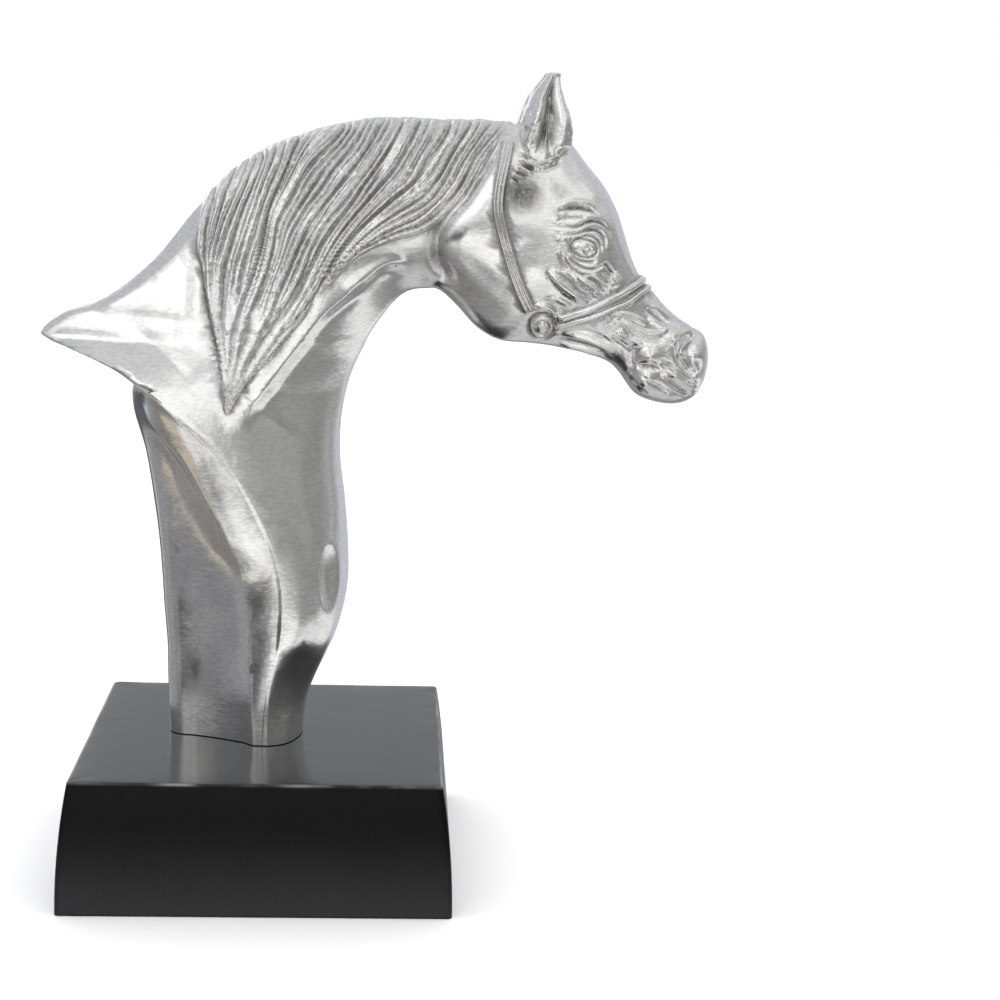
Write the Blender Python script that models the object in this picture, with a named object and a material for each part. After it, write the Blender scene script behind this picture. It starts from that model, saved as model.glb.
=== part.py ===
"""Horse head sculpture: one polished aluminium casting that stands on a black wooden plinth.

The frame has +X towards the nose, +Z up, and its origin at the centre of the plinth's underside.
The casting's free form is drawn in units of which DRAWN_HEIGHT make up its height, as places (x, z)
in the middle plane, with x from the plinth's centre and z from the foot's underside.
"""

import math

import bmesh
import bpy
import numpy as np

# Driving dimensions, in metres
PLINTH_SIDE = 0.125
PLINTH_HEIGHT = 0.045
PLINTH_FLARE = 0.0038
PLINTH_CORNER = 0.0016
PLINTH_EDGE = 0.0009
SEAT_GAP = 0.0003
CASTING_HEIGHT = 0.2346

# The drawing's own scale
DRAWN_HEIGHT = 234.6
UNIT = CASTING_HEIGHT / DRAWN_HEIGHT

# Resolution of the surfaces
RINGS = 340
LANE_STEPS = (2, 3, 3, 5, 34, 20, 8)
FACES_KEPT = 8900
EAR_LEVELS = 18
EAR_SIDES = 28
PLINTH_LEVELS = 8
CORNER_STEPS = 3

# Each section runs from a place on the back, crest or face line to one on the chest, jaw or chin line.
# Then come how sharp its ridge is and how closely the rings lie from there on, and below them its
# edge, panel, strip, ridge, cheek and low lanes, as (share of the way down, half width).
SECTIONS = (
    ((-34.2, 0), (13.1, 0), 0.4, 0.5,
     ((0.02, 4), (0.36, 11.6), (0.6, 17.6), (0.715, 20.2), (0.87, 17.4), (0.965, 9.4))),
    ((-34.9, 14), (14.8, 14), 0.6, 0.5,
     ((0.02, 4), (0.35, 11.4), (0.58, 17.8), (0.708, 20.4), (0.87, 17.4), (0.965, 9.4))),
    ((-35.2, 31), (21, 29), 0.7, 0.5,
     ((0.02, 4.2), (0.31, 11.6), (0.535, 18), (0.675, 20.7), (0.86, 17.2), (0.96, 9.8))),
    ((-36.3, 45), (26, 42), 0.7, 0.5,
     ((0.02, 4.4), (0.28, 12), (0.495, 18.2), (0.655, 21.2), (0.84, 17.8), (0.95, 10.5))),
    ((-37.1, 58), (28.5, 55.5), 0.7, 0.6,
     ((0.02, 4.6), (0.27, 12.6), (0.475, 18.6), (0.633, 21.8), (0.82, 18.8), (0.945, 11))),
    ((-38.3, 72), (28.3, 71), 0.8, 0.7,
     ((0.02, 4.8), (0.25, 13.2), (0.445, 19.4), (0.59, 22.4), (0.8, 19.4), (0.94, 11.5))),
    ((-40, 85), (27, 86), 0.9, 0.8,
     ((0.02, 5), (0.21, 13.6), (0.38, 20.2), (0.52, 23.2), (0.77, 19.6), (0.935, 11.5))),
    ((-42.4, 101), (25.2, 101), 0.9, 0.9,
     ((0.01, 5.2), (0.15, 13.2), (0.29, 20.4), (0.41, 23.8), (0.71, 19.6), (0.92, 11.5))),
    ((-45.2, 113), (25.4, 114), 0.9, 1,
     ((0.01, 5.2), (0.09, 12.8), (0.17, 20), (0.25, 23.8), (0.65, 19.6), (0.91, 11.5))),
    ((-46.5, 119), (26.2, 119.8), 0.9, 1.2,
     ((0.01, 5.2), (0.06, 12.4), (0.11, 19.2), (0.165, 23.2), (0.62, 19.6), (0.905, 11.5))),
    ((-46.9, 123.2), (27.1, 124.4), 0.9, 1.4,
     ((0.005, 5.2), (0.035, 12), (0.07, 18.4), (0.108, 22.6), (0.6, 19.6), (0.9, 11.5))),
    ((-46.3, 126.6), (28.1, 128.2), 0.9, 1.4,
     ((0, 5), (0.01, 11.4), (0.02, 17.6), (0.035, 21.6), (0.6, 19.6), (0.9, 11.5))),
    ((-50.2, 130.6), (29.4, 131.8), 0.9, 1.2,
     ((0, 4.4), (0, 9.8), (0, 15), (0.004, 18.8), (0.6, 19.5), (0.9, 11.5))),
    ((-58.4, 134.2), (31, 135.6), 0.9, 1.2,
     ((0, 3.6), (-0.004, 7.6), (-0.005, 11.2), (0, 14.4), (0.61, 19.3), (0.9, 11.5))),
    ((-69.1, 137.8), (32.3, 139.4), 0.9, 1.2,
     ((0, 2.4), (-0.003, 4.8), (-0.004, 6.8), (0, 8.2), (0.63, 19.1), (0.89, 11.5))),
    ((-76.6, 140.3), (33.2, 142), 0.8, 1.4,
     ((0, 1.4), (0, 2.4), (0.002, 3.2), (0.006, 3.8), (0.63, 19), (0.89, 11.5))),
    ((-78.7, 141.6), (33.7, 143), 0.7, 1.4,
     ((0, 1.1), (0.003, 1.9), (0.008, 2.6), (0.016, 3.2), (0.63, 18.9), (0.89, 11.4))),
    ((-78, 143.2), (34.2, 143.6), 0.7, 1.2,
     ((0, 1.1), (0.006, 2.1), (0.015, 2.9), (0.03, 3.8), (0.63, 18.8), (0.89, 11.4))),
    ((-72.2, 148.1), (34.9, 144.4), 0.8, 1.2,
     ((0, 1.3), (0.012, 2.7), (0.026, 3.9), (0.044, 4.8), (0.62, 18.7), (0.89, 11.3))),
    ((-58.4, 153.6), (36.2, 146.2), 0.8, 1.2,
     ((0, 1.5), (0.014, 3.2), (0.03, 4.7), (0.052, 6), (0.6, 18.4), (0.88, 11.1))),
    ((-41, 166.8), (38.2, 148.8), 0.7, 1.2,
     ((0, 1.7), (0.018, 3.8), (0.038, 5.5), (0.064, 7), (0.57, 17.6), (0.87, 10.8))),
    ((-23.4, 187.8), (40.6, 152), 0.1, 1.1,
     ((0, 2.2), (0.02, 4.4), (0.045, 6.6), (0.08, 8.6), (0.55, 16.6), (0.86, 10.4))),
    ((-6.4, 203), (43.2, 155.2), 0, 1.1,
     ((0, 2.4), (0.02, 4.6), (0.05, 7), (0.09, 9.2), (0.54, 15.6), (0.86, 10))),
    ((12.9, 211.5), (46.2, 157.9), 0, 1.1,
     ((0, 2.4), (0.02, 4.7), (0.05, 7.2), (0.1, 9.6), (0.53, 14.7), (0.85, 9.5))),
    ((35.3, 216.8), (49.5, 159.4), 0, 1.1,
     ((0, 2.6), (0.02, 4.8), (0.055, 7.4), (0.11, 9.9), (0.52, 13.9), (0.85, 9))),
    ((58, 217), (53.6, 159.9), 0, 1.2,
     ((0, 2.8), (0.02, 5), (0.06, 7.8), (0.13, 10.4), (0.52, 13.3), (0.84, 8.7))),
    ((76, 217), (58.6, 159.6), 0, 1.6,
     ((0, 3), (0.025, 5.6), (0.07, 8.6), (0.17, 11.4), (0.52, 13.2), (0.84, 8.5))),
    ((90, 216.4), (64.6, 154.6), 0, 2.2,
     ((0, 3.4), (0.03, 6.6), (0.09, 10.2), (0.22, 13), (0.54, 13.8), (0.85, 8.3))),
    ((101, 212.6), (72.2, 146.8), 0, 2.8,
     ((0.01, 4.2), (0.04, 8.2), (0.11, 12.4), (0.27, 15.2), (0.57, 14.4), (0.86, 8))),
    ((109, 203.7), (80.5, 142.5), 0, 3.4,
     ((0.012, 4.8), (0.045, 9.4), (0.12, 14), (0.3, 17), (0.6, 14.8), (0.87, 7.6))),
    ((115, 196.7), (89.5, 141.8), 0, 3.6,
     ((0.012, 5.2), (0.05, 10), (0.13, 15), (0.31, 18.2), (0.61, 14.8), (0.88, 7.2))),
    ((119.5, 188.7), (97, 141.1), 0, 3.6,
     ((0.012, 5.2), (0.05, 9.8), (0.13, 14.6), (0.31, 17.8), (0.62, 14.2), (0.88, 7))),
    ((122.9, 179.2), (104, 139.9), 0, 3.6,
     ((0.01, 4.6), (0.05, 8.6), (0.13, 12.6), (0.31, 15.6), (0.62, 12.8), (0.88, 6.8))),
    ((125.9, 170.9), (110, 138.7), 0, 3.4,
     ((0.01, 4.2), (0.05, 7.6), (0.13, 10.6), (0.31, 12.8), (0.62, 11.2), (0.88, 6.5))),
    ((129.6, 164.3), (115, 137.2), 0, 3,
     ((0.01, 3.8), (0.05, 6.8), (0.13, 9.2), (0.31, 11), (0.62, 10), (0.88, 6.2))),
    ((134, 159.9), (119.3, 135.2), 0, 3,
     ((0.01, 3.6), (0.05, 6.3), (0.13, 8.4), (0.31, 10.2), (0.62, 9.4), (0.88, 6.1))),
    ((138.2, 155.4), (122.6, 132), 0, 3,
     ((0.01, 3.6), (0.05, 6.2), (0.13, 8.2), (0.31, 10), (0.62, 9.2), (0.88, 6.2))),
    ((142.6, 151.8), (125, 128.8), 0, 3,
     ((0.01, 3.6), (0.05, 6.3), (0.13, 8.4), (0.31, 10.2), (0.62, 9.4), (0.88, 6.6))),
    ((146.8, 149.3), (128.4, 125.2), 0, 3,
     ((0.01, 3.8), (0.05, 6.6), (0.13, 8.6), (0.31, 10.3), (0.62, 9.6), (0.88, 7))),
    ((149.8, 147.8), (134, 122.4), 0, 3,
     ((0.01, 3.8), (0.05, 6.5), (0.13, 8.5), (0.31, 10), (0.62, 9.6), (0.88, 7.2))),
    ((151.6, 146.1), (140, 121.3), 0, 3,
     ((0.01, 3.6), (0.05, 6.2), (0.13, 8), (0.31, 9.2), (0.62, 9), (0.88, 6.8))),
    ((152.9, 143), (145.2, 121.9), 0, 3,
     ((0.01, 3), (0.05, 5.2), (0.13, 6.8), (0.31, 7.8), (0.62, 7.8), (0.88, 5.8))),
    ((153.4, 139.6), (149.2, 124.2), 0, 3,
     ((0.01, 2.2), (0.05, 3.8), (0.13, 5), (0.31, 5.8), (0.62, 5.9), (0.88, 4.4))),
    ((153.6, 136.2), (151.9, 128.6), 0, 3,
     ((0.01, 1), (0.05, 1.8), (0.13, 2.4), (0.31, 2.9), (0.62, 3), (0.88, 2.2))),
)
RIDGE_LANE = 4

# The mane: its rear edge, its lower edge, and its locks, from broad to fine
MANE_REAR = ((-20, 202), (-21.5, 192), (-23.5, 183), (-23.6, 175), (-22.8, 168), (-21.6, 159), (-19, 149),
             (-16.6, 140), (-15.2, 130), (-13, 118.5))
MANE_LOWER = ((86, 221), (78.2, 213), (74, 206.5), (67.5, 195), (58, 184), (52, 180.5), (44.6, 178.5),
              (38, 175.8), (28, 169.5), (18, 160), (8, 145), (-3.5, 132), (-9.5, 124), (-13, 118.5))
MANE_RAISE = 1.5
LOCKS = ((6, 1.3, 0.0), (14, 1.4, 0.4))
LOCK_ROOM = (1.2, 3.4)

# Lines of the neck and the shoulder
NECK_CORD = ((49, 168.6), (41.4, 169.8), (36.6, 167.8), (31, 164), (22, 156.6), (13, 147), (3, 135),
             (-5, 127), (-12, 119))
NECK_GROOVE = ((49, 165.5), (40, 165.6), (33.5, 161), (28, 156.6), (21, 150.5), (14, 142))
SHOULDER_CREASE = ((-2, 119), (8, 111), (15, 100.5), (18, 90), (18.5, 79.5), (16.5, 70))
CHEST_DIMPLE = ((21.5, 72), (23, 60), (23, 48))

# The head, as it is carved on each side
JOWL_EDGE = ((79, 214), (76, 206), (71.5, 198), (66.5, 189.8), (61.7, 183.4), (59.2, 177.5), (59.4, 171.5),
             (61.8, 166), (65.5, 160.6), (70.7, 155.4), (76, 150.4), (81, 146), (88, 143.5))
CHEEK_STRAP = ((81, 212), (79.6, 203.4), (78.2, 195), (78, 188), (79.6, 181.7), (82, 174), (84.3, 167.3),
               (87, 160.5), (90.5, 153.5))
NOSEBAND = ((97, 150), (105.5, 151.6), (113.6, 154.8), (121, 158.8), (128, 162.6), (133, 165))
ROSETTE = (94.2, 148.5)
EYE = (106.3, 177.0)
EYE_TILT = -0.16
EYE_SPAN = 5.0
BROW = ((96.5, 186.5), (102, 188.6), (109, 188), (114, 184))
TEMPLE = (86.8, 193.3)
FACE_RIDGES = (
    ((98.5, 172.5), (101.5, 167), (104.5, 162.3), (108.5, 158.4)),
    ((105.5, 167.6), (111, 164.4), (118.8, 159)),
)
NOSTRIL = (144.6, 140.6)
MOUTH = ((126.5, 138.8), (130, 135.8), (134, 135.8), (140, 133.2), (149, 128.6))
LIP_GROOVE = ((129.5, 132.5), (134, 131.6), (140.2, 128.8), (147.5, 125))
LIP_CORNERS = ((131.5, 139.4), (131.5, 133.2))
CHIN = (131.5, 127.5)

# Ears: height, middle in x, distance from the middle plane, half width, and depth of the hollow
EAR_LEVEL = (
    (200.0, 92.5, 8.4, 6.2, 0.00),
    (206.0, 92.5, 8.9, 6.6, 0.05),
    (210.0, 93.0, 9.3, 8.0, 0.40),
    (214.0, 93.1, 9.5, 8.5, 0.66),
    (218.6, 93.1, 9.6, 8.3, 0.74),
    (223.0, 93.3, 9.5, 7.0, 0.74),
    (227.0, 93.6, 9.3, 5.4, 0.68),
    (230.7, 94.4, 9.1, 3.5, 0.50),
    (233.4, 94.7, 8.9, 2.2, 0.25),
    (234.6, 94.8, 8.8, 1.1, 0.00),
)
EAR_TURN = math.radians(42)
EAR_MOUTH = math.radians(34)
EAR_FLATNESS = 0.82


def clear_scene():
    for item in list(bpy.data.objects):
        bpy.data.objects.remove(item, do_unlink=True)


def material(name, colour, roughness, metallic):
    made = bpy.data.materials.new(name)
    made.use_nodes = True
    shader = made.node_tree.nodes["Principled BSDF"]
    shader.inputs["Base Color"].default_value = (*colour, 1.0)
    shader.inputs["Roughness"].default_value = roughness
    shader.inputs["Metallic"].default_value = metallic
    return made


def eased(value, low, high):
    """0 below low, 1 above high, and a smooth step between."""
    share = np.clip((value - low) / (high - low), 0.0, 1.0)
    return share * share * (3.0 - 2.0 * share)


def slopes(points, gaps):
    """The slope at each point of a smooth curve through points, gaps apart along its own length."""
    steps = np.diff(points, axis=0) / gaps[:, None]
    inner = steps[:-1] * gaps[1:, None] + steps[1:] * gaps[:-1, None]
    inner = inner / (gaps[:-1] + gaps[1:])[:, None]
    return np.vstack([steps[:1], inner, steps[-1:]])


def blend_span(start, end, start_slope, end_slope, share):
    """A point at each share of the way along one span of a smooth curve."""
    square = share * share
    cube = square * share
    return (
        (2 * cube - 3 * square + 1) * start
        + (cube - 2 * square + share) * start_slope
        + (3 * square - 2 * cube) * end
        + (cube - square) * end_slope
    )


def smooth_rows(rows, gaps, at):
    """Rows of numbers read from a smooth curve through rows, at distances along it."""
    knots = np.concatenate([[0.0], np.cumsum(gaps)])
    span = np.clip(np.searchsorted(knots, at, side="right") - 1, 0, len(gaps) - 1)
    share = ((at - knots[span]) / gaps[span])[:, None]
    tilt = slopes(rows, gaps)
    reach = gaps[span][:, None]
    return blend_span(rows[span], rows[span + 1], tilt[span] * reach, tilt[span + 1] * reach, share)


def trace(points, steps_each=8):
    """A smooth line through hand-placed points."""
    rows = np.array(points, float)
    gaps = np.linalg.norm(np.diff(rows, axis=0), axis=1)
    at = np.linspace(0.0, gaps.sum(), steps_each * len(gaps) + 1)
    return smooth_rows(rows, gaps, at)


def measure(x, z, line):
    """How far each place is from a line, which side it is on, and how far along it lies, from 0 to 1."""
    start = line[:-1]
    run = np.diff(line, axis=0)
    length = np.linalg.norm(run, axis=1)
    before = np.concatenate([[0.0], np.cumsum(length)[:-1]])
    total = length.sum()
    best = np.full(x.shape, np.inf)
    side = np.ones(x.shape)
    along = np.zeros(x.shape)
    for i in range(len(run)):
        dx = x - start[i, 0]
        dz = z - start[i, 1]
        share = np.clip((dx * run[i, 0] + dz * run[i, 1]) / length[i] ** 2, 0.0, 1.0)
        away = np.hypot(dx - share * run[i, 0], dz - share * run[i, 1])
        nearer = away < best
        best = np.where(nearer, away, best)
        side = np.where(nearer, np.sign(run[i, 0] * dz - run[i, 1] * dx + 1e-12), side)
        along = np.where(nearer, (before[i] + share * length[i]) / total, along)
    return best, side, along


def stroke(x, z, points, width, height, fade=0.15):
    """A raised cord along a line, or a groove if height is below 0, that fades out at both ends."""
    away, _, along = measure(x, z, trace(points))
    ends = eased(along, 0.0, fade) * eased(1.0 - along, 0.0, fade)
    return height * np.exp(-((away / width) ** 2)) * ends


def mound(x, z, centre, reach, height):
    away = np.hypot(x - centre[0], z - centre[1]) / reach
    return height * np.exp(-away * away)


def mane(x, z):
    """Locks that run from the crest and draw together towards the mane's lower tip."""
    rear, rear_side, _ = measure(x, z, trace(MANE_REAR))
    lower, lower_side, _ = measure(x, z, trace(MANE_LOWER))
    inside = eased(np.minimum(rear * rear_side, -lower * lower_side), -0.8, 2.0)
    span = rear + lower + 1e-6
    across = rear / span
    across = across + 0.010 * np.sin(z / 8.0 + 5.0 * across) + 0.008 * np.sin(x / 6.0 - 3.0 * across)
    height = MANE_RAISE
    for count, tall, start in LOCKS:
        crown = np.abs(np.sin(math.pi * (count * across + start)))
        room = eased(span / count, *LOCK_ROOM)
        height = height + room * tall * (crown - 0.64)
    return inside * height


def jowl(x, z):
    """The round cheek plate, with its sharp rear edge and a groove behind it."""
    away, side, along = measure(x, z, trace(JOWL_EDGE))
    inward = away * side
    ends = eased(along, 0.0, 0.12) * eased(1.0 - along, 0.0, 0.25)
    plate = eased(inward, -0.8, 3.5) * (1.0 - eased(inward, 12.0, 32.0))
    groove = np.exp(-(((inward + 1.8) / 1.6) ** 2))
    return ends * (2.6 * plate - 1.1 * groove)


def rosette(x, z):
    away = np.hypot(x - ROSETTE[0], z - ROSETTE[1])
    boss = 1.6 * (1.0 - eased(away, 4.6, 6.2))
    ring_groove = -0.9 * np.exp(-(((away - 3.4) / 0.8) ** 2))
    return boss + ring_groove


def eye(x, z):
    """The eyeball between two lids, in a shallow socket."""
    dx = x - EYE[0]
    dz = z - EYE[1]
    along = dx * math.cos(EYE_TILT) + dz * math.sin(EYE_TILT)
    up = dz * math.cos(EYE_TILT) - dx * math.sin(EYE_TILT)
    ring = np.hypot(along / EYE_SPAN, up / (0.62 * EYE_SPAN))
    ball = 1.5 * np.clip(1.0 - ring * ring, 0.0, 1.0)
    lids = 0.9 * np.exp(-(((ring - 1.3) / 0.3) ** 2))
    fold = 0.5 * np.exp(-(((ring - 2.2) / 0.32) ** 2))
    socket = -1.0 * np.exp(-((ring / 1.9) ** 2))
    return ball + lids + fold + socket


def nostril(x, z):
    dx = (x - NOSTRIL[0]) / 2.6
    dz = (z - NOSTRIL[1]) / 4.2
    ring = np.hypot(dx + 0.35 * dz, dz)
    return 1.1 * np.exp(-(((ring - 1.25) / 0.4) ** 2)) - 2.4 * np.exp(-((ring / 0.75) ** 2))


def relief(x, z):
    """How far the carving stands out from the plain form, seen from the side."""
    out = mane(x, z)
    out += stroke(x, z, NECK_CORD, 2.2, 1.5) + stroke(x, z, NECK_GROOVE, 1.8, -0.8)
    out += stroke(x, z, SHOULDER_CREASE, 2.0, -0.7) + stroke(x, z, CHEST_DIMPLE, 1.8, -0.7)
    out += jowl(x, z)
    out += stroke(x, z, CHEEK_STRAP, 1.7, 1.2, 0.04)
    out += stroke(x, z, NOSEBAND, 1.9, 1.4, 0.02)
    out += rosette(x, z)
    out += eye(x, z) + stroke(x, z, BROW, 1.8, 0.9) + mound(x, z, TEMPLE, 5.0, -1.8)
    for line in FACE_RIDGES:
        out += stroke(x, z, line, 1.8, 1.1)
    out += nostril(x, z) + mound(x, z, CHIN, 4.0, 0.8)
    out += stroke(x, z, MOUTH, 1.1, -1.6) + stroke(x, z, LIP_GROOVE, 1.2, -0.9)
    for place in LIP_CORNERS:
        out += mound(x, z, place, 2.6, 0.9)
    return out * eased(z, 0.5, 6.0)


def ring_rows():
    """Every ring's two ends, lanes and sharpness, read from a smooth run through the sections."""
    rows = np.array([[*top, *low, *np.ravel(lanes), sharp, pace] for top, low, sharp, pace, lanes in SECTIONS])
    top_move = np.linalg.norm(np.diff(rows[:, 0:2], axis=0), axis=1)
    low_move = np.linalg.norm(np.diff(rows[:, 2:4], axis=0), axis=1)
    gaps = 0.5 * (top_move + low_move)
    worth = np.concatenate([[0.0], np.cumsum(gaps * rows[:-1, -1])])
    knots = np.concatenate([[0.0], np.cumsum(gaps)])
    at = np.interp(np.linspace(0.0, worth[-1], RINGS), worth, knots)
    return smooth_rows(rows, gaps, at)


def half_rings():
    """The plain form's rings on one side, as (ring, step, xyz), from the top line to the low line."""
    rows = ring_rows()
    top = rows[:, 0:2]
    low = rows[:, 2:4]
    lanes = rows[:, 4:16].reshape(len(rows), 6, 2)
    sharp = rows[:, 16][:, None]
    points = [np.column_stack([top[:, 0], np.zeros(len(rows)), top[:, 1]])]
    for i in range(lanes.shape[1]):
        place = top + lanes[:, i, 0:1] * (low - top)
        points.append(np.column_stack([place[:, 0], lanes[:, i, 1], place[:, 1]]))
    points.append(np.column_stack([low[:, 0], np.zeros(len(rows)), low[:, 1]]))
    mirror = np.array([1.0, -1.0, 1.0])
    chain = [points[1] * mirror, *points, points[-2] * mirror]
    gaps = [np.linalg.norm(b - a, axis=1)[:, None] ** 0.6 + 1e-4 for a, b in zip(chain[:-1], chain[1:])]
    steps = [(b - a) / gap for a, b, gap in zip(chain[:-1], chain[1:], gaps)]
    grid = []
    for i, count in enumerate(LANE_STEPS):
        gap = gaps[i + 1]
        start = (steps[i] * gap + steps[i + 1] * gaps[i]) / (gap + gaps[i])
        end = (steps[i + 1] * gaps[i + 2] + steps[i + 2] * gap) / (gap + gaps[i + 2])
        if i == RIDGE_LANE:
            start = start + (steps[i + 1] - start) * sharp
        if i + 1 == RIDGE_LANE:
            end = end + (steps[i + 1] - end) * sharp
        for j in range(count):
            grid.append(blend_span(points[i], points[i + 1], start * gap, end * gap, j / count))
    grid.append(points[-1])
    return np.stack(grid, axis=1)


def casting_grid():
    """Closed rings round the whole form, with the carving raised along the surface's own normal."""
    half = half_rings()
    near = half * np.array([1.0, -1.0, 1.0])
    far = half[:, -2:0:-1]
    plain = np.concatenate([near, far], axis=1)
    along = np.gradient(plain, axis=0)
    around = np.roll(plain, -1, axis=1) - np.roll(plain, 1, axis=1)
    normal = np.cross(around, along)
    normal /= np.linalg.norm(normal, axis=2, keepdims=True) + 1e-9
    height = relief(plain[:, :, 0], plain[:, :, 2])
    shaped = plain + normal * height[:, :, None]
    shaped[0] = plain[0]
    return shaped


def add_object(name, mesh, finish):
    made = bpy.data.objects.new(name, mesh)
    bpy.context.scene.collection.objects.link(made)
    if finish:
        mesh.materials.append(finish)
    return made


def mesh_from_rings(name, grid):
    """A closed mesh from rings of points, capped flat at both ends."""
    rings, sides, _ = grid.shape
    points = grid.reshape(-1, 3)
    faces = [list(range(sides))[::-1]]
    for i in range(rings - 1):
        for j in range(sides):
            after = (j + 1) % sides
            faces.append([i * sides + j, i * sides + after, (i + 1) * sides + after, (i + 1) * sides + j])
    faces.append([(rings - 1) * sides + j for j in range(sides)])
    mesh = bpy.data.meshes.new(name)
    mesh.from_pydata([tuple(p) for p in points], [], faces)
    work = bmesh.new()
    work.from_mesh(mesh)
    bmesh.ops.recalc_face_normals(work, faces=work.faces)
    work.to_mesh(mesh)
    work.free()
    mesh.shade_smooth()
    return mesh


def placed(grid):
    """Drawn units to metres, with the foot standing on the plinth."""
    return grid * UNIT + np.array([0.0, 0.0, PLINTH_HEIGHT + SEAT_GAP])


def ear_grid(side):
    """An upright ear as rings round its own axis, with a hollow that opens forwards and outwards."""
    levels = np.array(EAR_LEVEL)
    gaps = np.diff(levels[:, 0])
    rows = smooth_rows(levels, gaps, np.linspace(0.0, gaps.sum(), EAR_LEVELS))
    turn = np.linspace(0.0, 2 * math.pi, EAR_SIDES, endpoint=False)
    from_mouth = np.angle(np.exp(1j * (turn + EAR_TURN)))
    rings = []
    for height, middle, away, half, hollow in rows:
        radius = half * (1.0 - max(hollow, 0.0) * np.exp(-((from_mouth / EAR_MOUTH) ** 2)))
        x = middle + radius * np.cos(turn)
        y = -away + EAR_FLATNESS * radius * np.sin(turn)
        rings.append(np.column_stack([x, -side * y, np.full(EAR_SIDES, height)]))
    return np.stack(rings)


def make_ear(name, side):
    ear = add_object(name, mesh_from_rings(name, placed(ear_grid(side))), None)
    ear.hide_render = True
    ear.display_type = "WIRE"
    return ear


def make_casting(finish):
    """Neck, head, mane and bridle in one casting, with both ears joined on."""
    mesh = mesh_from_rings("horse_head", placed(casting_grid()))
    casting = add_object("horse_head", mesh, finish)
    for name, side in (("near_ear_form", -1), ("far_ear_form", 1)):
        join = casting.modifiers.new(name, "BOOLEAN")
        join.operation = "UNION"
        join.solver = "EXACT"
        join.object = make_ear(name, side)
    thin = casting.modifiers.new("facets", "DECIMATE")
    thin.ratio = FACES_KEPT / (2.0 * RINGS * 2.0 * sum(LANE_STEPS))
    return casting


def plinth_outline(half, corner):
    """A square's outline with small round corners."""
    points = []
    for quarter in range(4):
        turn = quarter * math.pi / 2
        reach = half - corner
        centre_x = reach * (1 if quarter in (0, 3) else -1)
        centre_y = reach * (1 if quarter in (0, 1) else -1)
        for step in range(CORNER_STEPS + 1):
            angle = turn + step / CORNER_STEPS * math.pi / 2
            points.append((centre_x + corner * math.cos(angle), centre_y + corner * math.sin(angle)))
    return points


def make_plinth(finish):
    """A square block whose sides bow outwards to a wider underside."""
    rings = []
    body_height = PLINTH_HEIGHT - PLINTH_EDGE
    for level in range(PLINTH_LEVELS + 1):
        share = level / PLINTH_LEVELS
        half = PLINTH_SIDE / 2 + PLINTH_FLARE * (1.0 - share * share)
        rings.append([(x, y, share * body_height) for x, y in plinth_outline(half, PLINTH_CORNER)])
    for step in range(1, CORNER_STEPS + 1):
        angle = step / CORNER_STEPS * math.pi / 2
        inset = PLINTH_EDGE * (1.0 - math.cos(angle))
        outline = plinth_outline(PLINTH_SIDE / 2 - inset, PLINTH_CORNER)
        rings.append([(x, y, body_height + PLINTH_EDGE * math.sin(angle)) for x, y in outline])
    mesh = mesh_from_rings("plinth", np.array(rings))
    mesh.set_sharp_from_angle(angle=math.radians(30))
    return add_object("plinth", mesh, finish)


def main():
    clear_scene()
    make_casting(material("polished_aluminium", (0.80, 0.80, 0.79), 0.22, 1.0))
    make_plinth(material("black_lacquer", (0.018, 0.017, 0.019), 0.30, 0.0))


main()
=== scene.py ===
"""Looks of the horse head sculpture: a finely carved, polished casting on a black lacquered plinth.

The frame has +X towards the nose and +Z up. The casting's form is drawn in units of which DRAWN_HEIGHT
make up its height, as places (x, z) in the middle plane, with x from the plinth's centre and z from the
foot's underside, and its carving is raised along the surface's own normal.
"""

import math

import bmesh
import bpy
import numpy as np
from mathutils import Matrix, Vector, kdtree


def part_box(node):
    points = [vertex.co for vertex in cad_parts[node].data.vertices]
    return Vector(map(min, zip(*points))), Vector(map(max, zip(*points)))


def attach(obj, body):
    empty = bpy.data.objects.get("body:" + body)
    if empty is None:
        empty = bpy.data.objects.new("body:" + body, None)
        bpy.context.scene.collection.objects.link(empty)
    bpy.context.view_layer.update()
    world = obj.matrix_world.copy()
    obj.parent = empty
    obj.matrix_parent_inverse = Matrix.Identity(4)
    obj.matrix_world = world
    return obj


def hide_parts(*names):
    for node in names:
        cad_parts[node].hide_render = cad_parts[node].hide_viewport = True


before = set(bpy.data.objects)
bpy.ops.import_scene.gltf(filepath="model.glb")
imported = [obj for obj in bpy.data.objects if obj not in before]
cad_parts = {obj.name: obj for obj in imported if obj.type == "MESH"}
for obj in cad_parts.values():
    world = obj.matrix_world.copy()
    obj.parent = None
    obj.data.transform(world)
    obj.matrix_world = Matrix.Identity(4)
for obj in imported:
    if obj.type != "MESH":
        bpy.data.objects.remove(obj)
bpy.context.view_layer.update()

# Places and scale, from the frame
PLINTH_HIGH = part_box("plinth")[1]
CASTING_LOW, CASTING_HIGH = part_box("horse_head")
SEAT = CASTING_LOW.z
DRAWN_HEIGHT = 234.6
UNIT = (CASTING_HIGH.z - SEAT) / DRAWN_HEIGHT

# Resolution of the surfaces
RINGS = 1150
LANE_STEPS = (4, 8, 14, 34, 90, 50, 20)
FACES_KEPT = 172000
EAR_LEVELS = 90
EAR_SIDES = 110
EAR_FACES = 9000

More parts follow.
